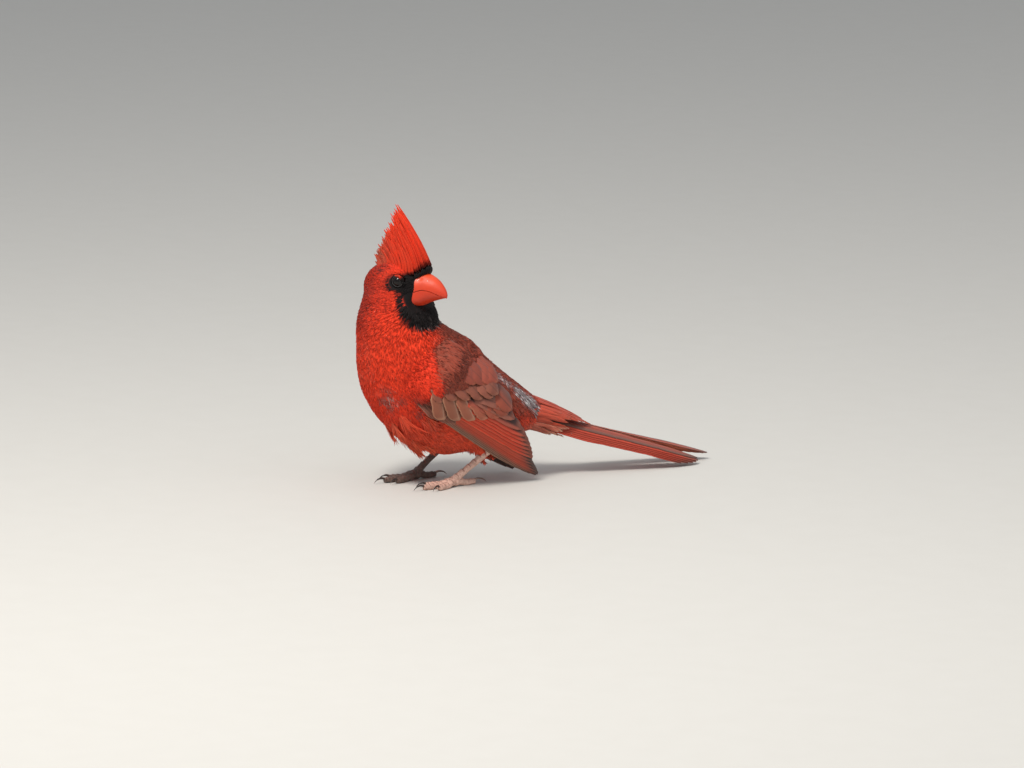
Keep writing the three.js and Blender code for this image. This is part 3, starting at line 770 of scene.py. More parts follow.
# Tips and roots of rows of feathers, as p and q
PRIMARY_TIPS = [
    (72, -4), (79, -3.4), (85, -2.4), (88.6, -1.4), (89, -0.6), (87, 0.2), (84.5, 1), (82, 2), (80, 3),
]
INNER_TIPS = [
    (79, 4.4), (77.4, 5.8), (75.4, 7.2), (73, 8.6), (70.4, 10), (67.4, 11.4), (63, 13), (56, 15.2),
    (48, 17.6),
]
SMALL_COVERT_TIPS = [(19, -7.4), (25, -6), (29, -4)]
COVERT_ROOTS = [(8.5, 7.5), (12, 10.5), (18, 12.5), (24, 15), (29, 17.5), (32, 20), (33, 22)]
COVERT_TIPS = [(22, -5.6), (29, -1.4), (36, 3), (42, 7.4), (47.4, 11.4), (51, 15), (52, 18)]
MEDIAN_TIPS = [(15, 0.6), (20.6, 5.8), (27, 10), (33, 13.8), (38, 17.4), (40, 20.6)]
SHOULDER_TIPS = [(15, 12.6), (22, 16.2), (29, 19.8), (35, 22.8), (38, 25.6)]
# Rows of q and then of p: where the red of the front ends, and the small feathers of the shoulder
RED_LINE = ([-7, 3, 9, 16, 24], [5, 9.5, 3.5, -3, -7])
TUFT_LINE = ([-7, 3, 9, 14, 20, 30], [3, 7, 13, 20, 27, 28])


def wing_place(side, wrist, tip):
    """A function that puts p, q and h of one wing in the body's frame."""
    wrist, tip = np.asarray(wrist, float), np.asarray(tip, float)
    along = unit(tip - wrist)
    out = np.array([side, 0.0, 0.0])
    out = unit(out - along * (out @ along))
    across = np.cross(out, along) * side

    def at(p, q, h):
        p, q, h = np.broadcast_arrays(p, q, h)
        bulge = WING_BULGE * (1 - ((p - BULGE_AT) / BULGE_REACH) ** 2) - WING_CURVE * (q - 2) ** 2
        return wrist + p[..., None] * along + q[..., None] * across + (bulge + h)[..., None] * out

    return at


def row_at(pairs, share):
    """The place at one share along a row."""
    return spline(np.asarray(pairs, float), np.array([share]))[0]


def wing_feather(at, root, tip, widths, lift, dive, tint, seed, narrow=0.6, blunt=0.72, **shape):
    """One feather of a wing, which rises from the height dive at its root to the height lift."""
    span = math.hypot(tip[0] - root[0], tip[1] - root[1])
    c, s = (tip[0] - root[0]) / span, (tip[1] - root[1]) / span

    def place(t, across, depth):
        p = blend(root[0], tip[0], t) - s * across
        q = blend(root[1], tip[1], t) + c * across
        height = blend(dive, lift, smooth(0, 12 / span, t))
        return at(p, q, height - WING_TILT * across + depth)

    return vane_arrays(place, webs(*widths, narrow, blunt), span, tint, seed, **shape)


def wing_arrays(at, look):
    """All the feathers of one wing, from its lowest layer to its highest."""
    feathers = []

    def tier(count, roots, tips, widths, lifts, colour, seed, sunk=2, **shape):
        for k in range(count):
            share = k / (count - 1)
            broad = [blend(*pair, share) for pair in widths]
            root, tip = row_at(roots, share), row_at(tips, share)
            lift, dive = blend(*lifts, share), core_top(*root) - sunk
            feathers.append(wing_feather(at, root, tip, broad, lift, dive, colour(share), seed + k, **shape))

    # Primaries and secondaries carry their dark inner colour out onto the outer web: partly the dark inner
    # web, partly a painted shadow along the edge of the feather that overlaps them
    def primary(share):
        edge = between("b98f72", "c9503a", smooth(0.25, 0.7, share))
        web = between("6e4a3e", "b04630", smooth(0.2, 0.7, share))
        return flight_tint(edge, web, *hexes("33211e 5b443c 33211e"), -0.42)

    def secondary(share):
        edge = between("dc6a4c", "a8614c", smooth(0.5, 0.9, share))
        web = between("cd432a", "8a5040", smooth(0.55, 0.85, share))
        inner = between("3c2420", "7a5144", smooth(0.9, 1, share))
        return flight_tint(edge, web, inner, *hexes("9a5644 4c2c26"), blend(-0.4, 0.3, share**6))

    def covert(share):
        web = between("8a4f39", "9a4833", smooth(0.2, 0.8, share))
        edge = between("b07c60", "b25e45", smooth(0.3, 0.8, share))
        inner = between("5f3f35", "74443a", share)
        return flight_tint(edge, web, inner, edge, hexed("b18a74" if share < 0.4 else "4a2f28"), 0.3)

    small_covert = flight_tint(*hexes("a8604a 7a4a3c 553830 9a6450 3a2622"))
    median = flight_tint(*hexes("a8644c 874a38 7a4032 ab6a50 5a342a"), 0.3)
    shoulder = flight_tint(hexed("9f543e"), look.back, *hexes("823c2d a65c44 6b352a"), 0.4)
    soft = {"narrow": 0.3, "thick": 0.2}
    tier(9, [(2, -4.6), (10, -0.6)], PRIMARY_TIPS, ((2, 2), (5.6, 5)), (-4.2, -0.5), primary, 100)
    tier(9, [(5, 0), (24, 12)], INNER_TIPS, ((2.2, 3), (5.4, 4)), (0, 3.2), secondary, 200)
    tier(5, [(5.4, -3.6), (11, -0.6)], SMALL_COVERT_TIPS, ((2, 2), (3.4, 3.4)), (-2.2, 0.2),
         lambda share: small_covert, 300, sunk=3, thick=0.2)
    tier(7, COVERT_ROOTS, COVERT_TIPS, ((6.2, 4.8), (6.6, 5.4)), (1.4, 3.6),
         covert, 400, blunt=0.66, camber=1.0, shaft=0.2, **soft)
    tier(6, [(6.5, 8.5), (24, 24)], MEDIAN_TIPS, ((4.5, 4.3), (4.8, 4.5)), (2.2, 4.7),
         lambda share: median, 500, blunt=0.5, camber=0.8, shaft=0.12, **soft)
    tier(6, [(3, 17), (22, 29)], SHOULDER_TIPS, ((4.3, 4.3), (4.7, 4.6)), (3.4, 3.4),
         lambda share: shoulder, 600, blunt=0.5, camber=0.8, shaft=0.1, **soft)
    return gather(feathers + [shoulder_core(at, look)])


def shoulder_core(at, look):
    """The flesh of a shoulder, as a flat round form."""
    angle, turn = ball_angles(26, 40)
    p = CORE_AT[0] - CORE_REACH[0] * np.cos(angle)
    q = CORE_AT[1] + CORE_REACH[1] * np.sin(angle) * np.cos(turn)
    rise = np.sin(angle) * np.sin(turn)
    points = at(p, q, core_height(p, q) + CORE_THICK * rise * np.abs(rise)).reshape(-1, 3)
    faces = outward(points, grid_faces(26, 40, closed=True))
    # Painted shade: the flesh under the shoulder's small feathers is a fifth darker than they are
    colours = shoulder_colours(points, p.ravel(), q.ravel(), look) * 0.8
    return points, faces, colours, np.zeros((len(points), 2))


def core_height(p, q):
    """The middle of a wing's flesh, which dips into the body at its front and its top."""
    height = 0.16 * (q - 9) - 0.021 * np.maximum(0, q - 12) ** 2 - 0.06 * np.maximum(0, 2 - q) ** 2
    return height - 13 * smooth(9, -12, p)


def core_top(p, q):
    """The outer face of a wing's flesh."""
    across, up = (p - CORE_AT[0]) / CORE_REACH[0], (q - CORE_AT[1]) / CORE_REACH[1]
    return core_height(p, q) + CORE_THICK * np.clip(1 - across**2 - up**2, 0, 1)


def shoulder_colours(points, p, q, look):
    """Red like the breast at the front of a wing, and like the back behind it."""
    wave, fine = ripple(points, 8.0), ripple(points, 3.0, 0.7)
    red = np.interp(q, *RED_LINE)
    wrist = blob(np.stack([p, q], 1), (5, -5), (4, 3), 0.6)
    return layered(look.back, len(points), [
        (smooth(0.0, 0.7, fine) * 0.35, TONES["shoulder fleck"]),
        (smooth(0.1, 0.8, wave) * 0.3, TONES["shoulder wash"]),
        (smooth(red + 1.5, red - 1.5, p + 0.8 * wave + 0.6 * fine), look.breast),
        (wrist * 0.5, TONES["wrist"]),
    ])


def shoulder_tufts(at, side, count, seed, look):
    """Small feathers over the shoulder of a wing."""
    chance = np.random.default_rng(seed)
    angle = chance.uniform(0, 2 * math.pi, count)
    far = np.sqrt(chance.uniform(0, 1, count))
    p, q = 7 + 19 * far * np.cos(angle), 12 + 17.6 * far * np.sin(angle)
    on = p < np.interp(q, *TUFT_LINE) + 1.5 * ripple(np.stack([p, q, q], 1), 6.0)
    p, q = p[on], q[on]

    def surface(p, q):
        return at(p, q, core_top(p, q) + 0.3)

    roots, step = surface(p, q), 0.4
    along, across = unit(surface(p + step, q) - roots), unit(surface(p, q + step) - roots)
    normals = unit(np.cross(along, across))
    normals *= np.where(normals[:, :1] * side < 0, -1, 1)
    slope = 0.05 - 0.25 * smooth(14, 2, q)
    lie = unit(along + across * slope[:, None])
    big = smooth(10, 20, q) * smooth(-6, 4, p)
    length, width = 6.6 + 3.4 * big, 1.1 + 0.9 * big
    tips = surface(p + length / np.hypot(1, slope), q + length * slope)
    fall = np.clip(np.einsum("ij,ij->i", roots + lie * length[:, None] - tips, normals), -1, 3)
    tint = shoulder_colours(roots, p, q, look)
    chart = np.stack([0.1 + p / 60, 0.2 + q / 60], 1)
    return tuft_arrays(roots, normals, lie, length, width, 0.45, fall, tint, chart, seed, 0.1)


# Tail: its feathers from the middle outwards, as a length and the widths of the inner and outer web
TAIL_ROOT = np.array([0.0, 50.0, 34.0])
TAIL_LENGTH, TAIL_DROP, TAIL_ROLL = 105, 31, math.radians(12)
TAIL_FEATHERS = [(105, 2.6, 3.4), (105, 4, 3.3), (104, 5, 3.3), (102, 6, 3.1), (99, 7, 2.9), (95, 8, 2.6)]
# The side of each half, how much shorter it is, and how far it sags
TAIL_HALVES = [(1, 9, 1.2), (-1, 0, 0)]
# Half widths, heights and depths of the tail's root, which the coverts lie on
TAIL_BASE = [(12.4, 8, 11), (9.6, 6, 8.6), (8.6, 4.4, 7), (7.4, 2.6, 5.6), (6, 0.4, 4.6)]


def tail_place():
    """A function that puts p along the tail, q across it and h over it in the body's frame."""
    along = unit([0, math.sqrt(TAIL_LENGTH**2 - TAIL_DROP**2), -TAIL_DROP])
    up = np.array([0, -along[2], along[1]])
    turned = up * math.cos(TAIL_ROLL) + np.cross(along, up) * math.sin(TAIL_ROLL)
    across = np.cross(along, turned)

    def at(p, q, h):
        p, q, h = np.broadcast_arrays(p, q, h)
        return TAIL_ROOT + p[..., None] * along + q[..., None] * across + h[..., None] * turned

    return at


def tail_arrays():
    """The twelve feathers of the tail, whose two halves lean apart like a roof, and their coverts."""
    at = tail_place()
    feathers = []
    for side, short, sag in TAIL_HALVES:
        for k, (length, inner, outer) in enumerate(TAIL_FEATHERS):
            reach = length - short

            def place(t, across, lift):
                p = reach * t
                q = 0.2 + np.minimum(1, 0.55 + 1.2 * t) * inner + across + 0.035 * np.maximum(0, p - 40)
                roof = np.tan(np.radians(blend(24, 5, np.minimum(1, t * 1.3)))) * q
                return at(p, side * q, lift - roof - 0.55 * k - sag * t * t)

            web = hexed("c24a34" if k % 3 else "b8553f")
            tint = flight_tint(hexed("c96a4c"), web, *hexes("a83c2a 7d4a3d 4c2a22"), 0.5)
            if k == 0:
                tint = flight_tint(*hexes("7d5a4e a04836 6f4a40 6b4a40 47241e"), 0.3)
            shape, seed = webs(inner, outer, 0.55, 0.8), 700 + 10 * k + side
            feathers.append(vane_arrays(place, shape, reach, tint, seed, 30, 0.24, 0.16, 0.15))
    return gather(feathers + tail_coverts(at))


def tail_coverts(at):
    """Short feathers all round the tail's root, paler and looser beneath."""
    red = flight_tint(*hexes("c25a3e b8442c a03c28 bb5a3e 7a3428"), 0.4)
    pale = flight_tint(*hexes("d08a70 c4604a b85a46 d8a88c a05a4a"), 0.4)
    shape = webs(1.35, 1.35, 0.7, 0.3)
    feathers = []
    for k in range(150):
        chance = np.random.default_rng(780 + k)
        turn = chance.uniform(-math.pi, math.pi)
        under = math.cos(turn) < -0.35
        start = blend(5, -5, (k % 30) / 30) + chance.uniform(-1, 1)
        reach = chance.uniform(14, 20) if under else 12 + 20 * abs(math.cos(turn)) * chance.uniform(0.4, 1)
        stray = chance.uniform(0, 1)

        def place(t, across, lift):
            p = start + reach * t
            size = spline(TAIL_BASE, np.clip((p.ravel() + 2) / 36, 0, 1)).reshape(*p.shape, 3)
            angle = turn + across / 8.5
            rise = 3 * t * t * stray if under else 0.02 * (28 - reach)
            loose = lift + 0.5 + rise - 2.6 * (1 - t) ** 3
            tall = np.where(np.cos(angle) > 0, size[..., 1], size[..., 2]) + loose
            return at(p, (size[..., 0] + loose) * np.sin(angle), tall * np.cos(angle))

        tint = pale if under else red
        feathers.append(vane_arrays(place, shape, reach, tint, 800 + k, 12, 0.16, 0.08, 0.1))
    return feathers


# Crest: rows of locks from the left to the right, as their number, the place aside of their roots and
# of their tips, and their share of the full height
CREST_ROWS = [
    (13, 6, 3.2, 0.5), (17, 5, 2.6, 0.68), (20, 4, 2.0, 0.8), (24, 2.9, 1.5, 0.88), (28, 1.8, 0.9, 0.95),
    (30, 0.7, 0.3, 1), (28, -0.7, -0.3, 0.99), (28, -1.8, -0.9, 0.95), (24, -2.9, -1.5, 0.88),
    (20, -4, -2.0, 0.8), (17, -5, -2.6, 0.68), (13, -6, -3.2, 0.5),
]
FRINGE = 45


def crest_arrays(look):
    """The locks of the crest, and the short black fringe at its foot."""
    locks = []
    for row, (count, from_side, to_side, share) in enumerate(CREST_ROWS):
        for k in range(count):
            u = (k + 0.5 * (row % 2)) / count
            chance = np.random.default_rng(900 + 40 * row + k)
            front = -17.8 + 0.13 * from_side**2
            high = blend(112.7, 110.4, u**0.5) - 5 * u * u - 0.1 * from_side**2
            root = np.array([from_side, blend(front, 12, u), high])
            peak = np.array([to_side, blend(2.4, 14.6, u**1.3), blend(142.4, 116, u**1.15)])
            wild = chance.uniform(0.8, 1.03)
            peak = blend(root, peak, share * wild) + chance.normal(0, 0.5, 3) * (0.5 + u)
            bend = blend(root, peak, 0.5) + np.array([0, -3.2 * u - 2.4 * (1 - u), 2.4 * u])

            def place(t, across, lift):
                t1 = t[..., None]
                point = (1 - t1) ** 2 * root + 2 * t1 * (1 - t1) * bend + t1**2 * peak
                tangent = unit(2 * (1 - t1) * (bend - root) + 2 * t1 * (peak - bend))
                back = unit(np.stack([0 * t, tangent[..., 2], -tangent[..., 1]], -1))
                lean = -0.25 * np.sign(from_side)
                out = np.stack([lift + lean * across, 0 * t, 0 * t], -1)
                return head_point(point + back * across[..., None] + out)

            def widths(t):
                half = 1.15 * (0.7 + 0.3 * np.minimum(1, t / 0.3)) * np.clip(1 - t, 0, 1) ** 0.55 + 0.04
                return half, half

            def tint(t, across):
                colours = np.broadcast_to(np.asarray(look.bright, float), (*t.shape, 3))
                colours = over(colours, 0.25 - 0.25 * smooth(0, 0.5, t), look.nape)
                colours = over(colours, smooth(0.05, 0.02, t) * smooth(0.35, 0.15, u), look.mask)
                colours = over(colours, smooth(0.4, 0.9, u) * (0.2 + 0.6 * t) * grey, TONES["worn crest"])
                return over(colours, np.abs(across) ** 2 * 0.15, TONES["crest edge"])

            grey = chance.uniform(0.2, 1)
            span = float(np.linalg.norm(peak - root))
            locks.append(vane_arrays(place, widths, span, tint, 950 + 40 * row + k, 9, 0.36, 0.14, 0.15))
    dark = flight_tint(*[look.mask] * 5)
    for k in range(FRINGE):
        chance = np.random.default_rng(1500 + k)
        side = -6 + 12 * k / (FRINGE - 1)
        low = np.array([side, -16.2 + 0.1 * side**2, 107.8 - 0.05 * side**2])
        top = np.array([0.9 * side, -18.2 + 0.14 * side**2, 112.4 - 0.1 * side**2])
        top += chance.normal(0, 0.3, 3)

        def stand(t, across, lift):
            t1 = t[..., None]
            point = blend(low, top, t1) + np.array([0, -0.9, 0]) * np.sin(math.pi * t1)
            return head_point(point + np.stack([across, -lift, 0 * t], -1))

        locks.append(vane_arrays(stand, webs(0.6, 0.6, 0.8, 0.3), 4, dark, 1600 + k, 6, 0.3, 0.1, 0.1))
    return gather(locks)


# Bill, in the head's frame: rows of forward, height, half width, above and below.
BILL = [
    (6, 100.2, 7.4, 8.4, 8.4), (10, 100.4, 9, 8.6, 8.8), (13, 100.7, 7.9, 8.6, 8.3),
    (16.4, 101, 6.6, 8, 7.4), (19.5, 100.8, 5.6, 6.9, 6.3), (22.5, 100.2, 4.4, 5.6, 4.9),
    (25.5, 99.3, 3, 3.6, 3), (27.6, 98.3, 1.5, 1.7, 1.3), (28.6, 97.4, 0.05, 0.05, 0.05),
]
# The line of the mouth, as rows of forward and height
MOUTH = [(0, 96.5), (9.5, 97.5), (12.5, 99.6), (17, 101.3), (21, 101), (25.5, 99), (28.5, 97), (34, 94)]
NOSTRIL_AT, NOSTRIL_SIZE, NOSTRIL_DEPTH = (4.6, -15.6, 106.4), (1.6, 1.2, 0.8), 0.7
# The heights, in metres, between which the horn is painted lighter, as a highlight on the top of the bill
BILL_HIGHLIGHT_HEIGHTS = (0.0985, 0.1095)


def mouth_block(drop):
    """A block under the line of the mouth, to part the two halves of the bill."""
    line = spline([(f, z - drop) for f, z in MOUTH], np.linspace(0, 1, 40))
    rim = np.concatenate([line, [(34, 60), (0, 60)]])
    count = len(rim)
    near = np.stack([np.full(count, 20.0), -rim[:, 0], rim[:, 1]], 1)
    points = head_point(np.concatenate([near, near * [-1, 1, 1]]))
    faces = [tuple(range(count)), tuple(range(2 * count - 1, count - 1, -1))]
    faces += [(k, (k + 1) % count, count + (k + 1) % count, count + k) for k in range(count)]
    mesh = bpy.data.meshes.new("mouth_block")
    mesh.from_pydata(to_metres(points).tolist(), [], faces)
    block = bpy.data.objects.new("mouth_block", mesh)
    bpy.context.scene.collection.objects.link(block)
    edit(block, bpy.ops.mesh.normals_make_consistent, inside=False)
    return block


def bill_form(name):
    """The whole bill, squarer beneath and hollowed at its nostrils."""
    rows = np.array(BILL)
    path = np.stack([0 * rows[:, 0], -rows[:, 0], rows[:, 1]], 1)
    points, faces, _, angles = loft(path, rows[:, 2:], 56, 60)
    square = np.sin(2 * angles) ** 2 * (np.sin(angles) < 0) * smooth(-24, -12, points[:, 1])
    points[:, 0] *= 1 + 0.22 * square
    points[:, 2] -= 0.9 * square
    for side in (1, -1):
        away = np.linalg.norm((points - NOSTRIL_AT * np.array([side, 1, 1])) / NOSTRIL_SIZE, axis=1)
        points[:, 0] -= side * NOSTRIL_DEPTH * np.exp(-(away**2))
    return make_piece(name, head_point(points), faces)


# Legs: the side of each, where its foot is and how far it turns out
LEGS = {"left": (1, (12, 5.7), 10), "right": (-1, (-12, -5.7), 12)}
# Toes: their turn from the front, length, number of scales and length of claw
TOES = [
    ("inner", 24, 14, 6, 6), ("middle", 2, 18.5, 9, 7), ("outer", -17, 15, 8, 6), ("hind", 180, 11.5, 5, 8),
]
# The rings of a claw past its root: how far along, as a share of its length, the height and the radius
CLAW = [(0.35, 2.6, 0.72), (0.7, 2.2, 0.46), (0.93, 1.0, 0.2), (1.0, 0.3, 0.02)]


def heading(degrees):
    return np.array([math.sin(math.radians(degrees)), -math.cos(math.radians(degrees)), 0.0])


def scaled_limb(path, radii, scales, around, along, pads=0.0, above=(0, 0, 1)):
    """A limb with broad scales across its upper side, pads beneath and small scales between."""
    sizes = np.repeat(np.asarray(radii, float)[:, None], 3, 1)
    points, faces, shares, angles = loft(path, sizes, around, along, above)
    centre = spline(path, shares)
    away = unit(points - centre)
    top = smooth(-0.1, 0.5, np.sin(angles))
    step = (shares * scales) % 1.0
    proud = 0.42 * (step - 0.35) * top
    under = smooth(0.1, -0.6, np.sin(angles))
    proud += pads * under * (0.5 - 0.5 * np.cos(shares * scales * math.pi))
    closed = smooth(0, 0.03, shares) * smooth(1, 0.97, shares)
    points = points + away * (proud * closed)[:, None]
    points[:, 2] = np.maximum(points[:, 2], 0.0)
    groove = smooth(0.12, 0.0, step) * top + smooth(0.9, 1.0, step) * top
    return points, faces, groove


def toe_path(foot, ahead, length):
    """The middle line of a toe, from behind its joint down to the floor and along it."""
    rows = [[*(foot - ahead[:2] * 1.5), TOE_JOINT - 0.6]]
    for share, height in ((0.16, 2.7), (0.5, 1.45), (0.8, 1.42), (1, 1.5)):
        rows.append([*(foot + ahead[:2] * length * share), height])
    return np.array(rows)


def claw_arrays(base, ahead, claw):
    """A claw that curves down to the floor, and the share of its length at each point."""
    shape = [(0, 1.7, 1.0), (0.4, 1.9, 0.95)] + [(claw * share, z, r) for share, z, r in CLAW]
    path = np.array([[*(base + ahead[:2] * f), z] for f, z, _ in shape])
    girth = np.array([[r * 0.62, r * 0.74, r * 0.74] for _, _, r in shape])
    points, faces, shares, _ = loft(path, girth, 20, 36)
    points[:, 2] = np.maximum(points[:, 2], 0.05)
    return points, faces, shares


def foot_pad(foot):
    """The ball under the joint of the toes."""
    t, a = ball_angles(20, 28)
    pad = np.stack([np.sin(t) * np.cos(a), np.sin(t) * np.sin(a), np.cos(t)], -1) * [2.5, 2.6, 2.2]
    pad = (pad + [*foot, 2.2]).reshape(-1, 3)
    return pad, grid_faces(20, 28, closed=True)[:, ::-1], np.zeros(len(pad))


# Settings
def colour_setting(name, description, code):
    return bpy.props.FloatVectorProperty(
        name=name, description=description, subtype="COLOR", size=3, min=0, max=1, default=hexed(code)
    )


def length_setting(name, description, metres):
    return bpy.props.FloatProperty(name=name, description=description, default=metres, unit="LENGTH")


def angle_setting(name, description, degrees):
    return bpy.props.FloatProperty(
        name=name, description=description, default=math.radians(degrees), subtype="ANGLE"
    )


class PlumageSettings(bpy.types.PropertyGroup):
    breast: colour_setting("Breast", "Colour of the breast and belly", "da381e")
    bright: colour_setting("Crest", "Brightest red, on the crest and upper breast", "ee4222")
    back: colour_setting("Back", "Colour of the back and shoulders", "8f4130")
    nape: colour_setting("Nape", "Colour of the nape and the sides of the head", "92200f")
    mask: colour_setting("Mask", "Colour of the face round the bill", "120d0d")
    depth: length_setting("Depth", "Skin under the outline", 1.1 * MM)
    length: length_setting("Length", "Length of a small feather", 7.6 * MM)
    width: length_setting("Width", "Width of a small feather", 1.05 * MM)
    count: bpy.props.IntProperty(
        name="Count", description="Small feathers on the body", default=56000, min=100
    )


class HornSettings(bpy.types.PropertyGroup):
    bill: colour_setting("Bill", "Colour of the bill", "c8320e")
    # The ridge colour is a painted highlight on the top of the bill
    bill_highlight: colour_setting("Ridge", "Colour of the bill's ridge", "e0531f")
    claw: colour_setting("Claw", "Colour of the claws", "2e2320")
    leg: colour_setting("Leg", "Colour of the scaled legs", "dcb4a2")
    leg_dark: colour_setting("Between scales", "Colour between the scales", "7a4c40")
    leg_pale: colour_setting("Scale edges", "Colour of the palest scales", "dcb8a8")
    iris: colour_setting("Iris", "Colour of the eye round its pupil", "160a06")


class StageSettings(bpy.types.PropertyGroup):
    azimuth: angle_setting("Azimuth", "Camera's turn round the model", 68)
    elevation: angle_setting("Elevation", "Camera's height angle", 10.5)
    distance: length_setting("Distance", "Camera's distance", 3.0)
    floor: colour_setting("Floor", "Colour of the floor", "c9c6c0")


# The picture in pixels: its size, where the middle of the feet lies in it, and its scale
PICTURE = (1024, 768)
FEET_AT = (435.4, 482.7)
PIXELS_PER_MM = 2.0
SENSOR = 36
# Lights: the way to each, its size in metres, its power and its tint
LIGHTS = {
    "key": ((-0.35, 0.6, 1.0), 0.35, 19, (1, 0.97, 0.92)),
    "fill": ((0.8, 0.7, 0.3), 1.6, 4, (0.94, 0.97, 1)),
    "top": ((0, 0, 1), 2.4, 5, (1, 1, 1)),
}
LIGHT_DISTANCE = 1.4
# The nodes that one skin takes the place of
SKINNED = ["torso", "neck", "head", "thigh_left", "thigh_right"]
# The pieces of the coat, and how much the tones of their feathers differ
COAT_PIECES = [("coat_head", 0.08), ("coat_back", 0.15), ("coat_breast", 0.07), ("coat_belly", 0.08)]
TUFTS_IN_PIECE = 12000


# Operators
class CARDINAL_OT_skin(bpy.types.Operator):
    """Makes one seamless skin over the head, neck, torso and thighs"""

    bl_idname = "cardinal.skin"
    bl_label = "Skin"

    def execute(self, context):
        look = context.scene.cardinal_plumage
        copies = []
        for node in SKINNED:
            copy = bpy.data.objects.new("skin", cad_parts[node].data.copy())
            context.scene.collection.objects.link(copy)
            copies.append(copy)
        skin = only(copies[0])
        for copy in copies:
            copy.select_set(True)
        bpy.ops.object.join()
        skin.name = skin.data.name = "skin"
        edit(skin, bpy.ops.mesh.remove_doubles, threshold=1e-6)
        apply_modifier(skin, "DISPLACE", strength=0.32 * MM, mid_level=0)
        apply_modifier(skin, "REMESH", mode="VOXEL", voxel_size=0.95 * MM, use_smooth_shade=True)
        apply_modifier(skin, "SMOOTH", factor=0.5, iterations=26)
        apply_modifier(skin, "DISPLACE", strength=-look.depth, mid_level=0)
        self.set_chin_back(skin.data)
        skin.data.uv_layers.new(name=BAKE)
        edit(skin, bpy.ops.uv.smart_project, angle_limit=math.radians(66), island_margin=0.004)
        points, normals = mesh_arrays(skin.data)
        gape = np.linalg.norm((in_head(points) - GAPE_AT) / [12.4, 5.4, 7.6], axis=1)
        tint = over(markings(points, normals, look), smooth(1.1, 0.95, gape), look.mask)
        # Painted shade: the skin, seen in the gaps between the small feathers, is a fifth darker than the
        # plumage
        paint(skin.data, tint * 0.8)
        dress(skin, "red_plumage", plumage_material("skin_down"), *SKINNED)
        return {"FINISHED"}

    def set_chin_back(self, mesh):
        """Sets the chin back, so that its feathers keep under the bill."""
        points, _ = mesh_arrays(mesh)
        local = in_head(points)
        away = np.linalg.norm((local - [0, -13.5, 94]) / [10.5, 6, 6.5], axis=1)
        local[:, 1] += 3.4 * smooth(1.1, 0.3, away)
        set_points(mesh, head_point(local))


class CARDINAL_OT_coat(bpy.types.Operator):
    """Covers the skin with small feathers that follow the lie of the plumage"""

    bl_idname = "cardinal.coat"
    bl_label = "Small feathers"

    def execute(self, context):
        look = context.scene.cardinal_plumage
        skin = bpy.data.objects["skin"].data
        material = plumage_material("small_feathers")
        places = coat_places(skin, look.count)
        made = coat_shapes(skin, *places, look)
        plumed = plumes(made[0], made[1], made[2], made[-1], look)
        made = [np.concatenate(pair) for pair in zip(made, plumed)]
        high = made[0][:, 2]
        area = np.select([high > 84, made[0] @ BACK_WAY > 42, high > 45], [0, 1, 2], 3)
        for k, (name, spread) in enumerate(COAT_PIECES):
            chosen = np.flatnonzero(area == k)
            for part in range(0, len(chosen), TUFTS_IN_PIECE):
                on = chosen[part : part + TUFTS_IN_PIECE]
                tufts = tuft_arrays(*(values[on] for values in made), 20 + k + part, spread)
                piece = make_piece(f"{name}_{part // TUFTS_IN_PIECE}", *tufts, BAKE)
                dress(piece, "red_plumage" if k else "bright_plumage", material)
        return {"FINISHED"}


def coat_places(skin, count):
    """Where the small feathers stand: closer on the head, and none on bare parts."""
    sets = [scatter(skin, count, 11), scatter(skin, count, 12)]
    high = sets[1][0][:, 2] > np.random.default_rng(13).uniform(76, 94, count)
    sets[1] = tuple(values[high] for values in sets[1])
    place, normal, chart = (np.concatenate(group) for group in zip(*sets))
    eye, mouth, bare = bare_parts(place)
    return [values[~bare] for values in (place, normal, chart, eye, mouth)]


def coat_shapes(skin, place, normal, chart, eye, mouth, look):
    """The lie, sizes and colours of the small feathers, as tuft_arrays takes them."""
    lie = lie_of_coat(place, normal)
    z = place[:, 2]
    small = 1 - 0.45 * smooth(88, 104, z)
    small *= blend(0.4, 1, smooth(3.5, 10, eye)) * blend(0.4, 1, smooth(0.8, 1.7, mouth))
    thigh = smooth(25, 18, z)
    belly = smooth(36, 24, z) * smooth(40, 20, np.abs(place[:, 1] + 4)) * (1 - thigh)
    length = look.length / MM * small * (1 + 0.35 * belly) * (1 - 0.5 * thigh)
    width = look.width / MM * (0.55 + 0.45 * small)
    lift = 0.38 + 0.6 * belly
    fall = falls(skin, place, normal, lie, length)
    return [place, normal, lie, length, width, lift, fall, markings(place, normal, look), chart]


def bare_parts(points):
    """Distances from the eyes and from the bill, and which places bear no feathers."""
    face = in_head(points)
    face[:, 0] = np.abs(face[:, 0])
    eye = np.linalg.norm(face - (EYE_AT + [1.6, 0, 0]), axis=1)
    mouth = np.linalg.norm((face - [0, -16, 101]) / [8, 8, 9], axis=1)
    root = -13.8 + 3.6 * smooth(102, 95, face[:, 2])
    gape = np.linalg.norm((face - GAPE_AT) / [11, 4.2, 6], axis=1)
    bare = (eye < 3.9) | (gape < 1) | ((mouth < 0.86) & (face[:, 1] < root))
    return eye, mouth, bare | (points[:, 2] < 13) | (points[:, 1] > 57)


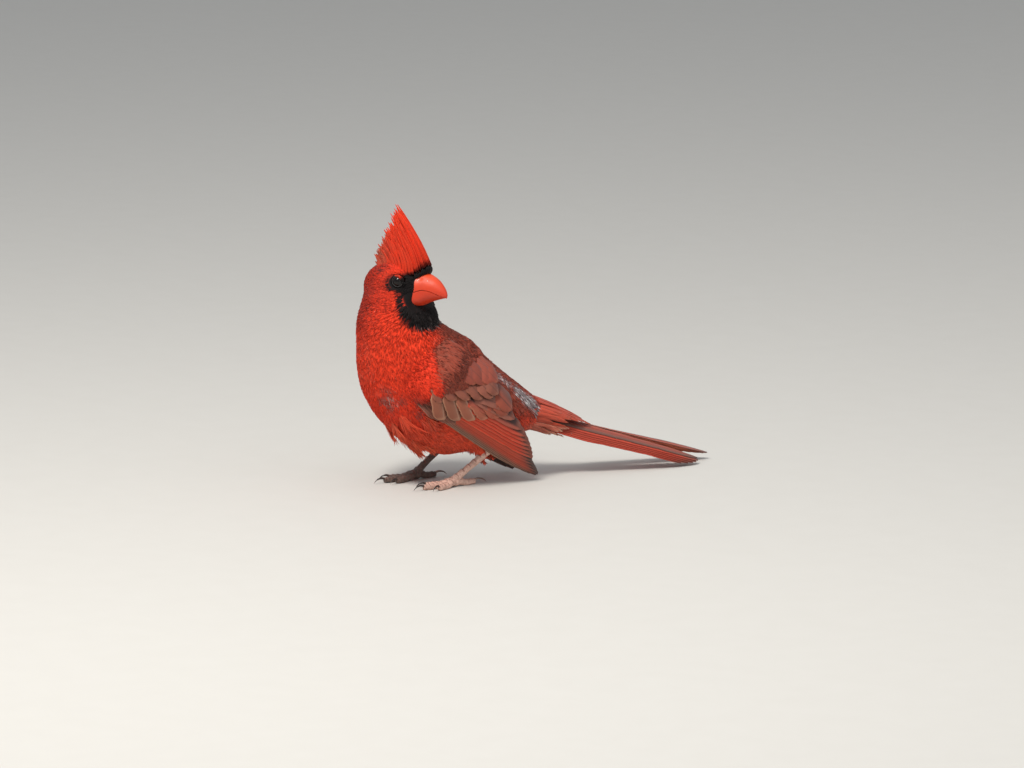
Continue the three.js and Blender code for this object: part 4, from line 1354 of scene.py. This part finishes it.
def plumes(place, normal, lie, chart, look):
    """Loose pointed groups of longer feathers along the lower breast and the belly."""
    chance = np.random.default_rng(77)
    _, y, z = place.T
    low = (z < 42) & (z > 19) & (y > -38) & (y < 15) & (normal[:, 2] < 0.05)
    heads = chance.choice(np.flatnonzero(low), 60, replace=False)
    groups = []
    for head in heads:
        front = smooth(-4, -24, y[head])
        reach = chance.uniform(7, 9) + 5 * front
        proud = 0.3 + 2.6 * front * chance.uniform(0.3, 1)
        way = unit(lie[head] + [0, 0.1 * front, -0.2 * front])
        tip = place[head] + way * reach + normal[head] * proud
        away = np.linalg.norm(place - place[head], axis=1)
        near = np.argsort(away)[:26]
        near = near[away[near] < 4.5]
        to_tip = tip + chance.normal(0, 0.35, (len(near), 3)) - place[near]
        rise = np.einsum("ij,ij->i", to_tip, normal[near])
        flat = to_tip - normal[near] * rise[:, None]
        size = np.linalg.norm(flat, axis=1)
        tint = markings(place[near], normal[near], look)
        tint = over(tint, np.full(len(near), chance.uniform(0, 0.3)), TONES["plume"])
        width, fall = np.full(len(near), 0.9), np.full(len(near), 0.3)
        groups.append((place[near], normal[near], unit(flat), size, width, rise, fall, tint, chart[near]))
    return [np.concatenate(group) for group in zip(*groups)]


class CARDINAL_OT_wings(bpy.types.Operator):
    """Lays the flight feathers, coverts and shoulder feathers of both wings"""

    bl_idname = "cardinal.wings"
    bl_label = "Wings"

    def execute(self, context):
        look = context.scene.cardinal_plumage
        vanes, soft = vane_material("wing_vanes"), plumage_material("shoulder_feathers")
        count = 9000
        for name, (side, wrist, tip) in WINGS.items():
            at = wing_place(side, wrist, tip)
            piece = make_piece("wing_feathers_" + name, *wing_arrays(at, look))
            dress(piece, "wing_plumage", vanes, "wing_" + name)
            tufts = shoulder_tufts(at, side, count, 31 + side, look)
            dress(make_piece("shoulder_feathers_" + name, *tufts, BAKE), "wing_plumage", soft)
        return {"FINISHED"}


class CARDINAL_OT_tail(bpy.types.Operator):
    """Lays the twelve tail feathers and their coverts"""

    bl_idname = "cardinal.tail"
    bl_label = "Tail"

    def execute(self, context):
        piece = make_piece("tail_feathers", *tail_arrays())
        dress(piece, "wing_plumage", vane_material("tail_vanes"), "tail")
        return {"FINISHED"}


class CARDINAL_OT_crest(bpy.types.Operator):
    """Raises the crest, lock by lock"""

    bl_idname = "cardinal.crest"
    bl_label = "Crest"

    def execute(self, context):
        piece = make_piece("crest_feathers", *crest_arrays(context.scene.cardinal_plumage))
        dress(piece, "bright_plumage", plumage_material("crest_vanes", 0.66, 0.12), "crest")
        return {"FINISHED"}


class CARDINAL_OT_bill(bpy.types.Operator):
    """Forms the two halves of the bill, parted at the mouth"""

    bl_idname = "cardinal.bill"
    bl_label = "Bill"

    def execute(self, context):
        horn = context.scene.cardinal_horn
        material = bill_material(horn.bill, horn.bill_highlight)
        for name, drop, kind in (("bill_upper", 0.0, "DIFFERENCE"), ("bill_lower", 0.3, "INTERSECT")):
            piece = bill_form(name + "_horn")
            block = mouth_block(drop)
            apply_modifier(piece, "BOOLEAN", operation=kind, solver="EXACT", object=block)
            bpy.data.objects.remove(block)
            only(piece)
            bpy.ops.object.shade_smooth_by_angle(angle=math.radians(50))
            dress(piece, "bill", material, name)
        return {"FINISHED"}


class CARDINAL_OT_eyes(bpy.types.Operator):
    """Sets the eyes and their lids in the head"""

    bl_idname = "cardinal.eyes"
    bl_label = "Eyes"

    def execute(self, context):
        eye_look, lid_look = eye_material(context.scene.cardinal_horn.iris), lid_material()
        for name, side in (("left", 1), ("right", -1)):
            centre = head_point(EYE_AT * [side, 1, 1])
            facing = unit(head_way([side, -0.22, 0.05]))
            dress(eyeball("eyeball_" + name, centre, facing), "eye", eye_look, "eye_" + name)
            dress(make_piece("lids_" + name, *lid_arrays(centre, facing)), "eye", lid_look)
        return {"FINISHED"}


def eyeball(name, centre, facing):
    """A ball that bulges a little at its front, which faces outwards."""
    bpy.ops.object.select_all(action="DESELECT")
    bpy.ops.mesh.primitive_uv_sphere_add(
        segments=40, ring_count=24, radius=EYE_RADIUS * MM, location=to_metres(centre)
    )
    ball = bpy.context.object
    ball.rotation_euler = Vector(facing).to_track_quat("Z", "Y").to_euler()
    bpy.ops.object.transform_apply(location=True, rotation=True, scale=True)
    points, _ = mesh_arrays(ball.data)
    out = (points - centre) @ facing / EYE_RADIUS
    set_points(ball.data, points + facing * (0.22 * smooth(0.6, 1.0, out))[:, None])
    ball.name = name
    bpy.ops.object.shade_smooth()
    return ball


def lid_arrays(centre, facing):
    """A creased ring of skin round an eye."""
    right = unit(np.cross(facing, [0, 0, 1]))
    up = np.cross(right, facing)
    spin = np.linspace(0, 2 * math.pi, 13)[:-1][:, None]
    rings = []
    for a in np.linspace(0, 2 * math.pi, 49)[:-1]:
        out = right * math.cos(a) + up * math.sin(a)
        radius = 2.72 - 0.12 * abs(math.sin(a))
        middle = centre + facing * (2.15 - 0.25 * abs(math.cos(a))) + out * radius
        thick = 0.42 + 0.05 * math.sin(9 * a)
        rings.append(middle + thick * (out * np.cos(spin) + facing * np.sin(spin)))
    points = np.concatenate(rings)
    return points, outward(points, grid_faces(49, 12, closed=True) % len(points))


class CARDINAL_OT_legs(bpy.types.Operator):
    """Forms the scaled shanks and toes, and the claws"""

    bl_idname = "cardinal.legs"
    bl_label = "Legs"

    def execute(self, context):
        horn = context.scene.cardinal_horn
        # The right leg's scales take darker colours: painted shade, for that leg stands in the body's shadow
        skins = {
            1: scale_material(horn.leg_dark, horn.leg_pale),
            -1: scale_material(TONES["shaded leg"], TONES["shaded scale"]),
        }
        front_claw = claw_material("claw_dark", TONES["claw tip"])
        hind_claw = claw_material("claw_pale", TONES["hind claw tip"])
        for name, (side, foot, turn) in LEGS.items():
            foot = np.array(foot, float)
            joint = np.array([*foot, TOE_JOINT])
            top = joint + [side * 2, 12.5, 10]
            above = joint + [side * 2.9, 17, 14]
            path = [joint + [0, -1.0, -0.6], joint, blend(joint, top, 0.5), top, above]
            made = scaled_limb(path, [1.6, 2.0, 1.6, 1.8, 2.0], 9, 30, 120, above=(0, -1, 0.6))
            self.limb("shank_scales_" + name, [made], skins[side], horn, "shank_" + name, side)
            toes = []
            for toe, degrees, length, scales, claw in TOES:
                ahead = heading(turn + side * degrees)
                route = toe_path(foot, ahead, length)
                toes.append(scaled_limb(route, [1.6, 1.9, 1.62, 1.5, 1.15], scales, 28, 110, 0.24))
                points, faces, shares = claw_arrays(foot + ahead[:2] * (length - 1.0), ahead, claw)
                ends = (TONES["claw root"], horn.claw)
                if toe == "hind":
                    ends = (TONES["hind claw root"], TONES["hind claw end"])
                tint = blend(np.array(ends[0]), np.array(ends[1]), smooth(0.1, 0.5, shares)[:, None])
                piece = make_piece(f"claw_horn_{name}_{toe}", points, faces, tint)
                dress(piece, "claw_horn", hind_claw if toe == "hind" else front_claw, f"claw_{name}_{toe}")
            toes.append(foot_pad(foot))
            self.limb("foot_scales_" + name, toes, skins[side], horn, "foot_" + name, side)
        return {"FINISHED"}

    def limb(self, name, parts, material, horn, node, side):
        points, faces, groove = gather(parts)
        # Painted shade: the right leg's colour is taken down to 0.22 of the left's, for the body's shadow it
        # stands in
        base = np.array(horn.leg) * (1.0 if side > 0 else 0.22)
        colours = over(np.tile(base, (len(points), 1)), groove * 0.8, horn.leg_dark)
        colours = over(colours, smooth(0.9, 0.0, points[:, 2]) * 0.4, TONES["sole"])
        return dress(make_piece(name, points, faces, colours), "leg_scales", material, node)


class CARDINAL_OT_stage(bpy.types.Operator):
    """Sets the floor, the light and the camera"""

    bl_idname = "cardinal.stage"
    bl_label = "Stage"

    def execute(self, context):
        stage = context.scene.cardinal_stage
        bpy.ops.object.select_all(action="DESELECT")
        bpy.ops.mesh.primitive_plane_add(size=12, location=(0, 0, 0))
        floor = context.object
        floor.name = "floor"
        s = Shader("floor_paint")
        grain = s.noise(60, 4)
        colour = s.mix(grain * 0.3, stage.floor, TONES["floor grain"])
        floor_look = s.finish(bump=grain, height=0.0002, strength=0.1, Base_Color=colour, Roughness=0.7)
        floor.data.materials.append(floor_look)
        a, e = stage.azimuth, stage.elevation
        back = np.array([math.sin(a) * math.cos(e), -math.cos(a) * math.cos(e), math.sin(e)])
        right = np.array([math.cos(a), math.sin(a), 0.0])
        self.set_camera(context.scene, right, back, stage.distance)
        aim = Vector(to_metres([0, 0, 60]))
        for name, (way, size, power, tint) in LIGHTS.items():
            light = bpy.data.lights.new(name, "AREA")
            light.size, light.energy, light.color = size, power, tint
            holder = bpy.data.objects.new(name, light)
            context.scene.collection.objects.link(holder)
            way = unit(right * way[0] + back * way[1] + np.array([0, 0, way[2]]))
            holder.location = aim + Vector(way) * LIGHT_DISTANCE
            holder.rotation_euler = (aim - holder.location).to_track_quat("-Z", "Y").to_euler()
        world = bpy.data.worlds.new("studio")
        world.use_nodes = True
        world.node_tree.nodes["Background"].inputs["Color"].default_value = (0.86, 0.9, 0.95, 1)
        world.node_tree.nodes["Background"].inputs["Strength"].default_value = 0.5
        context.scene.world = world
        context.scene.view_settings.view_transform = "Standard"
        return {"FINISHED"}

    def set_camera(self, scene, right, back, distance):
        """Sets the camera where the feet come to their place in the picture."""
        up = np.cross(back, right)
        aside, over_feet = PICTURE[0] / 2 - FEET_AT[0], FEET_AT[1] - PICTURE[1] / 2
        middle = right * aside / PIXELS_PER_MM + up * over_feet / PIXELS_PER_MM
        data = bpy.data.cameras.new("camera")
        data.sensor_width = SENSOR
        data.lens = SENSOR * PIXELS_PER_MM * distance / MM / PICTURE[0]
        data.clip_end = 100
        camera = bpy.data.objects.new("camera", data)
        scene.collection.objects.link(camera)
        matrix = Matrix([[*row, 0] for row in np.stack([right, up, back], 1)] + [[0, 0, 0, 1]])
        matrix.translation = Vector(to_metres(middle) + back * distance)
        camera.matrix_world = matrix
        scene.camera = camera


class CARDINAL_PT_panel(bpy.types.Panel):
    """Lists the steps that dress the model"""

    bl_idname = "CARDINAL_PT_panel"
    bl_label = "Cardinal"
    bl_space_type = "VIEW_3D"
    bl_region_type = "UI"
    bl_category = "Cardinal"

    def draw(self, context):
        for name in GROUPS:
            group = getattr(context.scene, name)
            for key in group.__annotations__:
                self.layout.prop(group, key)
        for step in STEPS:
            self.layout.operator(step.bl_idname)


STEPS = (
    CARDINAL_OT_skin, CARDINAL_OT_coat, CARDINAL_OT_wings, CARDINAL_OT_tail, CARDINAL_OT_crest,
    CARDINAL_OT_bill, CARDINAL_OT_eyes, CARDINAL_OT_legs, CARDINAL_OT_stage,
)
GROUPS = {
    "cardinal_plumage": PlumageSettings, "cardinal_horn": HornSettings, "cardinal_stage": StageSettings,
}


def register():
    for kind in (*GROUPS.values(), *STEPS, CARDINAL_PT_panel):
        bpy.utils.register_class(kind)
    for name, kind in GROUPS.items():
        setattr(bpy.types.Scene, name, bpy.props.PointerProperty(type=kind))


def unregister():
    for name in GROUPS:
        delattr(bpy.types.Scene, name)
    for kind in (CARDINAL_PT_panel, *STEPS, *GROUPS.values()):
        bpy.utils.unregister_class(kind)


def main():
    register()
    bpy.ops.cardinal.skin()
    bpy.ops.cardinal.coat()
    bpy.ops.cardinal.wings()
    bpy.ops.cardinal.tail()
    bpy.ops.cardinal.crest()
    bpy.ops.cardinal.bill()
    bpy.ops.cardinal.eyes()
    bpy.ops.cardinal.legs()
    bpy.ops.cardinal.stage()


if __name__ == "__main__":
    main()
